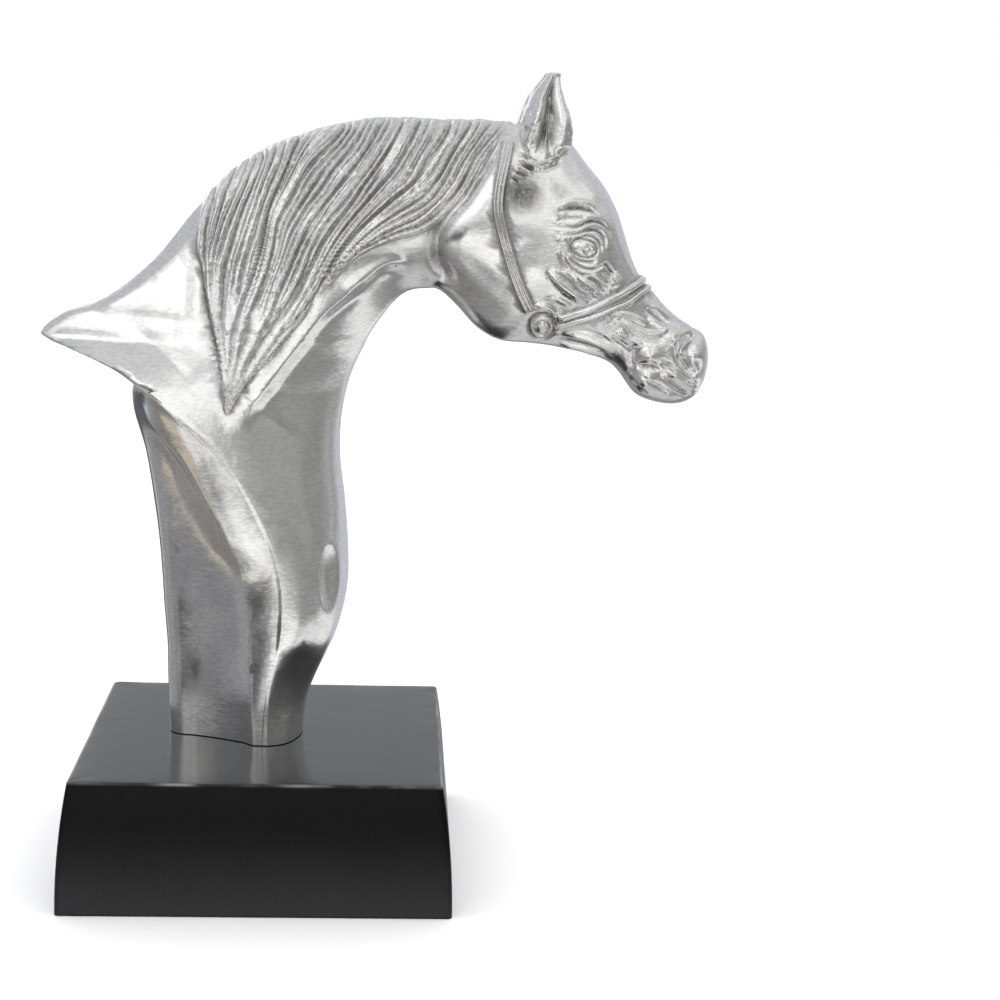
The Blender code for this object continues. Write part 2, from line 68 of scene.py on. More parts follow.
# Each section runs from a place on the back, crest or face line to one on the chest, jaw or chin line.
# Then come how sharp its ridge is and how closely the rings lie from there on, and below them its
# edge, panel, strip, ridge, cheek and low lanes, as (share of the way down, half width).
SECTIONS = (
    ((-34.2, 0), (13.1, 0), 0.4, 0.9,
     ((0.02, 4), (0.36, 11.6), (0.6, 17.6), (0.715, 20.2), (0.87, 17.4), (0.965, 9.4))),
    ((-34.9, 14), (14.8, 14), 0.6, 0.9,
     ((0.02, 4), (0.35, 11.4), (0.58, 17.8), (0.708, 20.4), (0.86, 15.8), (0.965, 8.6))),
    ((-35.1, 23), (17.6, 21.6), 0.6, 0.9,
     ((0.02, 4.1), (0.33, 11.5), (0.557, 17.9), (0.69, 20.5), (0.85, 15.6), (0.96, 8.8))),
    ((-35.2, 31), (21, 29), 0.7, 0.9,
     ((0.02, 4.2), (0.31, 11.6), (0.535, 18), (0.675, 20.7), (0.84, 16.8), (0.96, 9.6))),
    ((-35.7, 38), (23.9, 35.6), 0.7, 0.9,
     ((0.02, 4.3), (0.295, 11.8), (0.515, 18.1), (0.665, 21), (0.83, 19.1), (0.955, 11))),
    ((-36.3, 45), (26, 42), 0.7, 0.9,
     ((0.02, 4.4), (0.28, 12), (0.495, 18.2), (0.655, 21.2), (0.82, 19.8), (0.95, 11.8))),
    ((-37.1, 58), (28.5, 55.5), 0.7, 0.9,
     ((0.02, 4.6), (0.27, 12.6), (0.475, 18.6), (0.633, 21.8), (0.81, 19.7), (0.945, 11.8))),
    ((-38.3, 72), (28.3, 71), 0.8, 0.9,
     ((0.02, 4.8), (0.25, 13.2), (0.445, 19.4), (0.59, 22.4), (0.8, 19.6), (0.94, 11.6))),
    ((-40, 85), (27, 86), 0.9, 0.9,
     ((0.02, 5), (0.21, 13.6), (0.38, 20.2), (0.52, 23.2), (0.77, 19.6), (0.935, 11.5))),
    ((-42.4, 101), (25.2, 101), 0.9, 0.9,
     ((0.01, 5.2), (0.15, 13.2), (0.29, 20.4), (0.41, 23.8), (0.71, 19.6), (0.92, 11.5))),
    ((-45.2, 113), (25.4, 114), 0.9, 0.9,
     ((0.01, 5.2), (0.09, 12.8), (0.17, 20), (0.25, 23.8), (0.65, 19.6), (0.91, 11.5))),
    ((-46.5, 119), (26.2, 119.8), 0.9, 1.3,
     ((0.01, 5.2), (0.06, 12.4), (0.11, 19.2), (0.165, 23.2), (0.62, 19.6), (0.905, 11.5))),
    ((-46.9, 123.2), (27.1, 124.4), 0.9, 1.3,
     ((0.005, 5.2), (0.035, 12), (0.07, 18.4), (0.108, 22.6), (0.6, 19.6), (0.9, 11.5))),
    ((-46.3, 126.6), (28.1, 128.2), 0.9, 1.3,
     ((0, 5), (0.01, 11.4), (0.02, 17.6), (0.035, 21.6), (0.6, 19.6), (0.9, 11.5))),
    ((-50.2, 130.6), (29.4, 131.8), 0.9, 1.3,
     ((0, 4.4), (0, 9.8), (0, 15), (0.004, 18.8), (0.6, 19.5), (0.9, 11.5))),
    ((-58.4, 134.2), (31, 135.6), 0.9, 1.3,
     ((0, 3.6), (-0.004, 7.6), (-0.005, 11.2), (0, 14.4), (0.63, 19.2), (0.9, 11.5))),
    ((-69.1, 137.8), (32.9, 139.4), 0.9, 1.3,
     ((0, 2.4), (-0.003, 4.8), (-0.004, 6.8), (0, 8.2), (0.66, 18.9), (0.905, 11.4))),
    ((-76.6, 140.3), (34, 142), 0.8, 1.3,
     ((0, 1.4), (0, 2.4), (0.002, 3.2), (0.006, 3.8), (0.678, 18.7), (0.911, 11.3))),
    ((-78.7, 141.6), (34.5, 143), 0.7, 1.3,
     ((0, 1.1), (0.003, 1.9), (0.008, 2.6), (0.016, 3.2), (0.684, 18.6), (0.912, 11.3))),
    ((-78, 143.2), (34.8, 143.6), 0.7, 1.3,
     ((0, 1.1), (0.006, 2.1), (0.015, 2.9), (0.03, 3.8), (0.681, 18.5), (0.911, 11.2))),
    ((-72.2, 148.1), (35.3, 144.4), 0.8, 1.3,
     ((0, 1.3), (0.012, 2.7), (0.026, 3.9), (0.044, 4.8), (0.66, 18.4), (0.905, 11.2))),
    ((-58.4, 153.6), (36.4, 146.2), 0.8, 1.3,
     ((0, 1.5), (0.014, 3.2), (0.03, 4.7), (0.052, 6), (0.62, 18.1), (0.891, 11))),
    ((-41, 166.8), (38.2, 148.8), 0.7, 3,
     ((0, 1.7), (0.018, 3.8), (0.038, 5.5), (0.064, 7), (0.585, 17.4), (0.872, 10.8))),
    ((-23.4, 187.8), (40.6, 152), 0.1, 3,
     ((0, 2.2), (0.02, 4.4), (0.045, 6.6), (0.08, 8.6), (0.55, 16.6), (0.86, 10.4))),
    ((-6.4, 203), (43.2, 155.2), 0, 3,
     ((0, 2.4), (0.02, 4.6), (0.05, 7), (0.09, 9.2), (0.54, 15.6), (0.86, 10))),
    ((12.9, 211.5), (46.2, 157.9), 0, 3,
     ((0, 2.4), (0.02, 4.7), (0.05, 7.2), (0.1, 9.6), (0.53, 14.7), (0.85, 9.5))),
    ((35.3, 216.8), (49.5, 159.4), 0, 3,
     ((0, 2.6), (0.02, 4.8), (0.055, 7.4), (0.11, 9.9), (0.52, 13.9), (0.85, 9))),
    ((58, 217), (53.6, 159.9), 0, 3,
     ((0, 2.8), (0.02, 5), (0.06, 7.8), (0.13, 10.4), (0.52, 13.3), (0.84, 8.7))),
    ((76, 217), (58.6, 159.6), 0, 3.6,
     ((0, 3), (0.025, 5.6), (0.07, 8.6), (0.17, 11.4), (0.52, 13.2), (0.84, 8.5))),
    ((90, 216.4), (64.6, 154.6), 0, 3.6,
     ((0, 3.4), (0.03, 6.6), (0.09, 10.2), (0.22, 13), (0.54, 13.8), (0.85, 8.3))),
    ((101, 212.6), (72.2, 146.8), 0, 3.6,
     ((0.01, 4.2), (0.04, 8.2), (0.11, 12.4), (0.27, 15.2), (0.57, 14.4), (0.86, 8))),
    ((109, 203.7), (80.5, 142.5), 0, 3.6,
     ((0.012, 4.8), (0.045, 9.4), (0.12, 14), (0.3, 17), (0.6, 14.8), (0.87, 7.6))),
    ((115, 196.7), (89.5, 141.8), 0, 3.6,
     ((0.012, 5.2), (0.05, 10), (0.13, 15), (0.31, 18.2), (0.61, 14.8), (0.88, 7.2))),
    ((119.5, 188.7), (97, 141.1), 0, 3.6,
     ((0.012, 5.2), (0.05, 9.8), (0.13, 14.6), (0.31, 17.8), (0.62, 14.2), (0.88, 7))),
    ((122.9, 179.2), (104, 139.9), 0, 3.6,
     ((0.01, 4.6), (0.05, 8.6), (0.13, 12.6), (0.31, 15.6), (0.62, 12.8), (0.88, 6.8))),
    ((125.9, 170.9), (110, 138.7), 0, 3.6,
     ((0.01, 4.2), (0.05, 7.6), (0.13, 10.6), (0.31, 12.8), (0.62, 11.2), (0.88, 6.5))),
    ((129.6, 164.3), (115, 137.2), 0, 3.6,
     ((0.01, 3.8), (0.05, 6.8), (0.13, 9.2), (0.31, 11), (0.62, 10), (0.88, 6.2))),
    ((134, 159.9), (119.3, 135.2), 0, 4,
     ((0.01, 3.6), (0.05, 6.3), (0.13, 8.4), (0.31, 10.2), (0.62, 9.4), (0.88, 6.1))),
    ((138.2, 155.4), (122.6, 132), 0, 4,
     ((0.01, 3.6), (0.05, 6.2), (0.13, 8.2), (0.31, 10), (0.62, 9.2), (0.88, 6.2))),
    ((142.6, 151.8), (125, 128.8), 0, 4,
     ((0.01, 3.6), (0.05, 6.3), (0.13, 8.4), (0.31, 10.2), (0.62, 9.4), (0.88, 6.6))),
    ((146.8, 149.3), (128.4, 125.2), 0, 4,
     ((0.01, 3.8), (0.05, 6.6), (0.13, 8.6), (0.31, 10.3), (0.62, 9.6), (0.88, 7))),
    ((149.8, 147.8), (134, 122.4), 0, 4,
     ((0.01, 3.8), (0.05, 6.5), (0.13, 8.5), (0.31, 10), (0.62, 9.6), (0.88, 7.2))),
    ((151.6, 146.1), (140, 121.3), 0, 4,
     ((0.01, 3.6), (0.05, 6.2), (0.13, 8), (0.31, 9.2), (0.62, 9), (0.88, 6.8))),
    ((152.9, 143), (145.2, 121.9), 0, 4,
     ((0.01, 3), (0.05, 5.2), (0.13, 6.8), (0.31, 7.8), (0.62, 7.8), (0.88, 5.8))),
    ((153.4, 139.6), (149.2, 124.2), 0, 4,
     ((0.01, 2.2), (0.05, 3.8), (0.13, 5), (0.31, 5.8), (0.62, 5.9), (0.88, 4.4))),
    ((153.6, 136.2), (151.9, 128.6), 0, 4,
     ((0.01, 1), (0.05, 1.8), (0.13, 2.4), (0.31, 2.9), (0.62, 3), (0.88, 2.2))),
)
RIDGE_LANE = 4
RIDGE_SECTIONS = 14

# The mane: its rear edge, its lower edge and the place where its locks meet
MANE_REAR = ((-20, 202), (-21.5, 192), (-23.5, 183), (-23.6, 175), (-22.8, 168), (-21.6, 159), (-19, 149),
             (-16.6, 140), (-15.2, 130), (-13, 118.5))
MANE_LOWER = ((86, 221), (78.2, 213), (74, 206.5), (67.5, 195), (58, 184), (52, 180.5), (44.6, 178.5),
              (38, 175.8), (28, 169.5), (18, 160), (8, 145), (-3.5, 132), (-9.5, 124), (-13, 118.5))
MANE_TIP = (-13.0, 118.5)
MANE_RAISE = 1.5

# How the hair runs between those edges, from the crest down to the tip
MANE_RUNS = (
    ((-5.5, 202.6), (-9.6, 189.5), (-14.3, 177.1), (-17, 168.2), (-18, 159.7), (-16.6, 145.5),
     (-13.9, 128.4)),
    ((8.2, 210.5), (4.8, 201.1), (-0.5, 187.6), (-2.7, 176.5), (-5.9, 163.9), (-10.7, 149.4), (-13, 125)),
    ((21.4, 215.1), (13.5, 206.2), (7.5, 195.2), (2.7, 185.3), (0.4, 172.8), (-2, 164), (-8.8, 145),
     (-12.4, 123.2)),
    ((35.8, 217.5), (28.5, 206.1), (21.8, 196.9), (14, 185.6), (7.9, 173.6), (2.9, 161), (-1.9, 148.3),
     (-8.7, 132.3), (-12.2, 121.9)),
    ((49, 218.5), (42.9, 208.4), (35.5, 197.8), (28.3, 188.5), (20.4, 175.9), (14.2, 164.4), (8.1, 153),
     (-1.3, 138.8), (-12, 121.2)),
    ((65.5, 218.3), (57.4, 206.9), (50.6, 197.6), (42, 188.8), (33.4, 181.1), (24.8, 170.9), (16.8, 158.2),
     (5.7, 144.1), (-4.3, 131.1), (-11.8, 120.5)),
)

# Locks of the mane, from broad to fine: count, height, start, and the room a lock needs to show
LOCKS = (
    (6, 1.1, 0.0, (1.0, 2.6)),
    (14, 1.2, 0.4, (1.4, 3.0)),
    (35, 1.15, 0.7, (0.6, 1.4)),
    (71, 0.3, 0.2, (0.5, 0.9)),
)
LOCK_ROUNDNESS = 1.3
LOCK_LEVEL = 0.58

# How the strands wander: waves across the mane, their length along it, and how far they go
STRAND_WANDER = (
    (7.0, 17.0, 0.012),
    (24.0, 9.0, 0.006),
)

# How far the far side's strands are moved, across the mane and along it, so that the sides differ
FAR_SHIFT = (0.06, 60.0)

# Lines of the neck and the shoulder
NECK_CORD = ((49, 168.6), (41.4, 169.8), (36.6, 167.8), (31, 164), (25, 159.6))
NECK_GROOVE = ((49, 165.5), (40, 165.6), (33.5, 161), (28, 156.6), (21, 150.5), (14, 142))
NECK_SASH = ((44.9, 169.7), (38.1, 166.1), (31.4, 162.4), (24.7, 157.3), (18, 151.2), (11.4, 142.9),
             (4.7, 134.1), (-1.3, 125.8), (-6.2, 118.3), (-8.4, 108.8))
SASH_RAISE = 2.2
SASH_REACH = 7.0
CHEST_TURN = ((11.6, 111.7), (13.7, 108.5), (16.2, 92.8), (18.8, 80.9), (19.6, 73.3))
DIMPLE = (22.1, 60.0)
DIMPLE_REACH = (3.2, 11.5)
DIMPLE_DEPTH = 2.1

# The rear panel: the crest of the rolled band beside the ridge, how far the band stands out low down
# and high up, between which heights it changes, and the panel's rear border
ROLL_CREST = ((-46, 126.5), (-43.2, 122), (-36.8, 113.7), (-26.1, 101.1), (-18.9, 88.3), (-13, 77.4),
              (-9.4, 67.6), (-7.5, 60.9), (-6.3, 51), (-5.1, 44.2), (-5.1, 31.9), (-4.4, 19.4), (-3.6, 0))
ROLL_RAISE = (0.6, 2.6)
ROLL_DIP = (0.5, 0.5)
ROLL_CHANGE = (58.0, 74.0)
PANEL_REAR = ((-43, 124), (-39.6, 117.6), (-37.8, 106.4), (-35.2, 90.7), (-33.7, 70.5), (-32, 48.9),
              (-31, 34.3), (-29.5, 16.1), (-28.8, -2))
PANEL_SINK = 0.9
ROLL_APEX = (126.0, 14.0)

# The head, as it is carved on each side
JOWL_EDGE = ((79, 214), (76, 206), (71.5, 198), (66.5, 189.8), (61.7, 183.4), (59.2, 177.5), (59.4, 171.5),
             (61.8, 166), (65.5, 160.6), (70.7, 155.4), (76, 150.4), (81, 146), (88, 143.5))
JOWL_RAISE = 1.5
JOWL_GROOVE = 2.0
CHEEK_STRAP = ((81, 212), (79.6, 203.4), (78.2, 195), (78, 188), (79.6, 181.7), (82, 174), (84.3, 167.3),
               (87, 160.5), (90.5, 153.5))
NOSEBAND = ((99.7, 151.3), (105.3, 153.4), (110.4, 155.3), (113.7, 157.2), (118.8, 159.7), (123.3, 162.1),
            (126.8, 163.9), (131, 165.4), (135, 166.5))
LOWER_CORD = ((98.3, 147.5), (105.5, 150.5), (112.3, 152.8), (118, 155.5), (123.3, 157.7), (128.2, 160.8),
              (131.8, 162.2), (136, 163.4))
ROSETTE = (94.3, 148.5)
ROSETTE_EDGE = (3.4, 4.2)
ROSETTE_LOOP = ((89.9, 154.6), (93.2, 156.2), (96.3, 155.5), (98.9, 152.8), (100.3, 150.9))
EYE = (107.1, 176.4)
EYE_TILT = -0.16
EYE_REACH = (4.5, 3.1)
EYEBALL = 1.3
TEMPLE = (86.4, 193.7)
NOSTRIL_WING = (148.9, 139.2)
NOSTRIL_PIT = (144.6, 140.4)
CHIN = (131.5, 127.5)

# Places darkened with painted shade, behind the jowl and in the temple's pit, where patina also lies, and
# places left as cast: middle, reach and, for the first, how dark
SHADED = ((TEMPLE, 5.6, 1.3), ((57.4, 181.0), 3.6, 0.7), ((57.2, 172.0), 4.2, 0.8))
UNPOLISHED = (((107, 178), 13.0), ((104, 163), 6.5), ((138, 140), 15.0), ((120, 148), 9.0), ((90, 203), 8.0))

# Fine lines of the head: points, width and height, which is below 0 for a groove
EYE_LINES = (
    (((97.6, 188), (99.7, 189), (102.1, 189.7), (104.8, 190), (107.5, 189.7), (109.6, 189.2), (111.7, 188),
      (113.1, 187.3)), 0.75, -0.95),
    (((97, 189.5), (99, 190.7), (101.4, 191.6), (104.4, 191.9), (108.2, 191.4), (111, 190.2)), 0.8, 0.45),
    (((97.1, 184.9), (98.4, 185.6), (100.1, 186.5), (102.1, 186.9), (104.5, 187), (106.5, 186.7),
      (108.6, 186.2)), 0.5, -0.5),
    (((96.1, 183.4), (98.5, 183.4), (100.8, 183.7), (103.2, 183.6), (105.6, 184.1), (107.6, 185.2),
      (109.7, 185.7), (112.1, 185.4), (114.2, 184.3), (115.7, 182.6), (116.5, 180.2), (116.5, 177.9)),
     0.6, -0.75),
    (((97.2, 180.7), (99.6, 180.8), (102.3, 181), (104.9, 181.5), (107.3, 182.4), (109.4, 182.7),
      (111.8, 182.4), (113.5, 181.3), (114.6, 179.3), (114.7, 176.6), (114.1, 174.5)), 0.6, -0.8),
    (((101, 178.3), (102.6, 179.4), (105, 180), (107.3, 180.5), (109.7, 180.6), (111.8, 179.6),
      (112.9, 177.9), (113.4, 175.9), (112.7, 173.8)), 0.5, -0.7),
    (((105, 182.9), (107.2, 183.6), (109.6, 184.2), (111.6, 184)), 0.6, 0.45),
    (((102.8, 175.3), (103.9, 173.5), (105.6, 172.2), (107.7, 171.7), (110.1, 171.8), (112.4, 172.5)),
     0.5, -0.75),
    (((101.4, 175.9), (102.2, 173.3), (103.9, 171.3), (106, 170), (108.4, 169.3), (111.2, 169.4),
      (113.6, 170.3), (115.3, 171.8)), 0.5, -0.75),
    (((99.8, 175.2), (100.5, 172.5), (102, 170.4), (104.1, 168.6), (106.5, 167.4), (108.8, 167.3),
      (111.6, 167.8)), 0.5, -0.7),
    (((98.4, 175.8), (99.2, 172.8), (100.6, 170.1), (102.4, 168.1)), 0.5, -0.6),
    (((113.9, 171.8), (115.7, 170.5), (117.1, 168.8), (119, 167)), 0.6, -0.9),
    (((98.2, 179.4), (99.6, 179), (101, 179)), 0.8, 0.5),
)
FACE_LINES = (
    (((95.2, 169.6), (98.1, 165.6), (101.6, 162.6), (105.9, 159.9), (110.2, 157.8)), 1.6, 1.25),
    (((95.6, 166.6), (97.6, 163.6), (101.2, 160.4)), 0.7, -0.5),
    (((100.2, 168.6), (101.5, 167), (103.7, 164), (106.5, 161.6), (110.1, 159.7), (112.9, 158.6)), 0.7, -0.8),
    (((105.2, 166.5), (107.6, 165.2), (110.4, 163.7), (114.4, 161.4)), 1.1, 1.0),
    (((105.4, 163.8), (108.4, 162.2), (111.6, 160.8)), 0.6, -0.6),
    (((109.6, 161.7), (112.1, 160.4), (114.5, 159.9)), 0.7, 0.6),
    (((107.2, 167.3), (110.4, 165.6), (113.3, 163.5), (115.8, 161.8)), 0.6, -0.7),
    (((110.6, 167), (113.6, 165.6), (116, 163.6)), 0.6, 0.35),
    (((117.3, 168.6), (119.1, 166.3), (120.3, 164.4)), 1.0, 0.9),
    (((118.8, 163.9), (119.3, 162.6)), 0.9, 0.7),
    (((93.6, 157.8), (97.6, 158.9), (101.4, 157.6), (104.4, 155.6)), 0.9, 0.5),
    (((97.7, 143.9), (106.3, 142.6), (115.1, 139.9), (120.6, 136.4)), 0.9, -0.8),
    (((100.8, 145.8), (107.8, 144.9), (114.8, 142.3), (119.4, 139.6)), 0.75, 0.5),
    (((104.2, 147.6), (109.8, 147.2), (115.2, 145.2), (119.8, 142.4)), 0.7, -0.4),
    (((100.4, 141.4), (108.2, 140.3), (115.6, 137.6)), 0.8, 0.45),
    (((103, 203), (106.4, 199.6), (110.4, 194.4), (112, 190.5)), 1.8, 0.5),
)
MUZZLE_LINES = (
    (((117.4, 154), (122.7, 153.7), (128, 151.7), (130.9, 149.3)), 0.8, 0.6),
    (((118.2, 151.9), (122.8, 150.4), (128.2, 148.1), (131.7, 146.8), (135.9, 147.3), (139.2, 149)),
     0.8, 0.85),
    (((121.1, 149.8), (128.3, 145.7), (133.5, 144.6), (138.1, 146.4)), 0.7, -0.7),
    (((119.6, 147.6), (125.4, 144.6), (130.4, 142.4)), 0.6, 0.45),
    (((118.2, 145.6), (123.2, 142.6), (126.2, 140.4)), 0.8, -0.5),
    (((129, 156.1), (133.3, 153.7), (136.9, 151.3), (139.2, 149.9)), 0.7, -0.9),
    (((130.4, 152.8), (135.2, 149.9), (139.5, 147.6)), 0.9, 0.7),
    (((131.4, 157.2), (136.2, 154.2), (140.4, 151.6)), 0.7, 0.5),
    (((140, 142.4), (141.7, 139.9), (142.6, 137)), 0.6, -0.6),
    (((138.6, 144.6), (141.2, 144.2), (143.2, 145.9)), 0.9, 0.6),
    (((125.6, 144.6), (125.9, 139.2), (125.7, 133.7)), 0.9, -1.0),
    (((127.3, 135.3), (132.3, 135.7), (135.9, 134)), 0.7, -1.0),
    (((134.9, 137.9), (139.9, 135.2), (144.7, 131.6), (149.8, 128.6)), 0.9, -1.5),
    (((138.2, 134.2), (143.7, 130.8), (150.1, 126.4)), 0.9, 0.6),
    (((136.6, 132.2), (141.4, 128.7), (148.3, 124.2)), 0.8, -1.0),
    (((125.8, 131.8), (129.4, 128.6), (133.1, 125.4)), 0.6, -0.5),
    (((129.1, 133.3), (134.4, 128.9), (139.2, 125.7)), 0.6, -0.5),
    (((131.2, 130.6), (136.2, 127), (141.6, 124)), 0.6, 0.35),
)
NOSTRIL_GROOVE = ((150.6, 147.4), (146.3, 145.9), (143.8, 143.1), (142.8, 140.2), (144.1, 137),
                  (146.7, 134.1), (150.4, 132.7))
LIP_BULGES = (((132.1, 138.8), 3.0, 1.9), ((131.4, 131.2), 3.2, 1.9), ((139.9, 146.4), 2.0, 1.3),
              ((141.5, 133.4), 2.4, 0.9))
EAR_ROOT_LINES = (
    (((84.2, 213), (85.4, 211.2), (87.7, 209.1), (90.1, 207.8), (93.1, 207.4), (95.9, 208.6), (98.8, 210.2),
      (101, 213)), 0.75, 1.0),
    (((84.2, 208.6), (86.7, 206.4), (89.1, 205.4), (91.8, 205.5), (94.5, 206.6), (97, 208.2)), 0.6, -1.1),
    (((84.2, 207), (86.4, 205), (88.5, 203.9), (91.5, 204), (94.6, 205.1), (97, 206.5), (99.1, 208.6)),
     0.65, 1.05),
    (((83.8, 205.2), (86.8, 203.4), (89.2, 202.4), (91.9, 202.4), (94.6, 203.1), (97, 204.2), (99.4, 206.2)),
     0.75, -1.2),
    (((83.2, 203.3), (85.4, 202.4), (87.5, 201.4), (90, 200.7)), 0.55, 0.8),
    (((83, 201.3), (85.4, 200.5), (87.8, 199.5)), 0.5, -0.85),
    (((82.5, 200.2), (84.5, 199.5), (87, 198.7)), 0.5, 0.75),
    (((82.1, 199.9), (83.1, 198.6), (84.6, 197.4)), 0.45, -0.7),
    (((82.2, 198.7), (83.5, 197.3), (85.4, 196.2)), 0.5, 0.65),
)
SHOULDER_LINES = (
    (((-69, 143.4), (-60.8, 141.4), (-50, 137.6), (-39.1, 130.8), (-30.4, 122.8)), 2.6, -0.2),
    (((-57.8, 152.1), (-46.8, 146), (-36.1, 137.6), (-25.5, 127.3), (-18, 119)), 2.6, -0.45),
    (((-28.5, 172), (-28.3, 160), (-28.5, 148.6), (-26.5, 136)), 2.6, -0.3),
    (((-5, 120.4), (2.1, 115.8), (9.2, 110), (12.5, 106)), 1.3, -0.35),
    (((6.3, 86.4), (12.1, 81), (15.6, 72)), 1.6, -0.2),
)

# All the fine lines, and by how much the heights of each set are raised
LINE_SETS = (
    (EYE_LINES, 1.25),
    (FACE_LINES, 1.35),
    (MUZZLE_LINES, 1.25),
    (EAR_ROOT_LINES, 1.2),
    (SHOULDER_LINES, 1.0),
)

# Ears: height, middle in x, distance from the middle plane, half width, and depth of the hollow
EAR_LEVEL = (
    (200.0, 92.5, 8.4, 6.2, 0.00),
    (206.0, 92.5, 8.9, 6.6, 0.05),
    (210.0, 93.0, 9.3, 8.0, 0.40),
    (214.0, 93.1, 9.5, 8.5, 0.66),
    (218.6, 93.1, 9.6, 8.3, 0.74),
    (223.0, 93.3, 9.5, 7.0, 0.74),
    (227.0, 93.6, 9.3, 5.4, 0.68),
    (230.7, 94.6, 9.1, 3.5, 0.50),
    (233.2, 95.5, 8.9, 2.4, 0.20),
    (234.3, 95.9, 8.8, 2.0, 0.00),
    (234.6, 96.0, 8.8, 1.5, 0.00),
)
EAR_TURN = math.radians(72)
EAR_MOUTH = math.radians(30)
EAR_FLATNESS = 0.82

# Plinth
PLINTH_FLARE = 0.0038
PLINTH_CORNER = 0.0016
PLINTH_EDGE = 0.0011
PLINTH_LEVELS = 40
PLINTH_SIDE_STEPS = 60
PLINTH_TOP_RINGS = 10
PLINTH_CORNER_STEPS = 7
PLINTH_EDGE_STEPS = 9
EDGE_WANDER = 0.00012

# Heights of the finest relief, in metres, which the materials add
POLISH_WAVES = 0.00013
FILE_MARKS = 0.00002
CAST_GRAIN = 0.00016
HAIR_LINES = 0.00008
BRUSH_MARKS = 0.00004
LACQUER_SKIN = 0.00006

# Floor and the lamp above it
FLOOR_HALF = 8.0
FLOOR_LEVEL = -0.0002
LAMP_SPREAD = math.radians(120)
LAMP_LEVEL = 2.2
LAMP_HEIGHT = 2.0

# Camera: where it stands, in metres, how it is turned, and its lens
CAMERA_PLACE = (0.0425, -0.752, 0.2731)
CAMERA_YAW = math.radians(3.0)
CAMERA_PITCH = math.radians(10.7)
CAMERA_ROLL = math.radians(1.6)
LENS = 77.76
SENSOR = 36.0


def eased(value, low, high):
    """0 below low, 1 above high, and a smooth step between."""
    share = np.clip((value - low) / (high - low), 0.0, 1.0)
    return share * share * (3.0 - 2.0 * share)


def slopes(points, gaps):
    """The slope at each point of a smooth curve through points, gaps apart along its own length."""
    steps = np.diff(points, axis=0) / gaps[:, None]
    inner = steps[:-1] * gaps[1:, None] + steps[1:] * gaps[:-1, None]
    inner = inner / (gaps[:-1] + gaps[1:])[:, None]
    return np.vstack([steps[:1], inner, steps[-1:]])


def blend_span(start, end, start_slope, end_slope, share):
    """A point at each share of the way along one span of a smooth curve."""
    square = share * share
    cube = square * share
    return (
        (2 * cube - 3 * square + 1) * start
        + (cube - 2 * square + share) * start_slope
        + (3 * square - 2 * cube) * end
        + (cube - square) * end_slope
    )


def smooth_rows(rows, gaps, at):
    """Rows of numbers read from a smooth curve through rows, at distances along it."""
    knots = np.concatenate([[0.0], np.cumsum(gaps)])
    span = np.clip(np.searchsorted(knots, at, side="right") - 1, 0, len(gaps) - 1)
    share = ((at - knots[span]) / gaps[span])[:, None]
    tilt = slopes(rows, gaps)
    reach = gaps[span][:, None]
    return blend_span(rows[span], rows[span + 1], tilt[span] * reach, tilt[span + 1] * reach, share)


def trace(points, steps_each=8):
    """A smooth line through given points."""
    rows = np.array(points, float)
    gaps = np.linalg.norm(np.diff(rows, axis=0), axis=1)
    at = np.linspace(0.0, gaps.sum(), steps_each * len(gaps) + 1)
    return smooth_rows(rows, gaps, at)


def measure(x, z, line):
    """How far each place is from a line, which side it is on, and how far along it lies, from 0 to 1."""
    start = line[:-1]
    run = np.diff(line, axis=0)
    length = np.linalg.norm(run, axis=1)
    before = np.concatenate([[0.0], np.cumsum(length)[:-1]])
    total = length.sum()
    best = np.full(x.shape, np.inf)
    side = np.ones(x.shape)
    along = np.zeros(x.shape)
    for i in range(len(run)):
        dx = x - start[i, 0]
        dz = z - start[i, 1]
        share = np.clip((dx * run[i, 0] + dz * run[i, 1]) / length[i] ** 2, 0.0, 1.0)
        away = np.hypot(dx - share * run[i, 0], dz - share * run[i, 1])
        nearer = away < best
        best = np.where(nearer, away, best)
        side = np.where(nearer, np.sign(run[i, 0] * dz - run[i, 1] * dx + 1e-12), side)
        along = np.where(nearer, (before[i] + share * length[i]) / total, along)
    return best, side, along


def near_line(x, z, line, reach):
    """Which places lie within reach of a line's own box, so that only those are worked out."""
    low = line.min(axis=0) - reach
    high = line.max(axis=0) + reach
    return (x > low[0]) & (x < high[0]) & (z > low[1]) & (z < high[1])


def swell(away, middle, width, height):
    """A smooth rise where away is near middle, or a groove if height is below 0."""
    return height * np.exp(-(((away - middle) / width) ** 2))


def stroke(x, z, points, width, height, fade=0.3):
    """A raised cord along a line, or a groove if height is below 0, that fades out at both ends."""
    line = trace(points)
    close = near_line(x, z, line, 3.0 * width)
    out = np.zeros(x.shape)
    away, _, along = measure(x[close], z[close], line)
    ends = eased(along, 0.0, fade) * eased(1.0 - along, 0.0, fade)
    out[close] = swell(away, 0.0, width, height) * ends
    return out


def strap(x, z, points, half, height, strands, fade=0.03):
    """A flat strap along a line, made of parallel strands with grooves between them."""
    line = trace(points)
    close = near_line(x, z, line, 2.0 * half)
    out = np.zeros(x.shape)
    away, side, along = measure(x[close], z[close], line)
    ends = eased(along, 0.0, fade) * eased(1.0 - along, 0.0, fade)
    body = 1.0 - eased(away, 0.75 * half, 1.15 * half)
    crown = np.abs(np.cos(math.pi * strands * 0.5 * side * away / half + 0.5 * math.pi * (strands - 1)))
    out[close] = ends * body * height * (0.55 + 0.45 * crown)
    return out


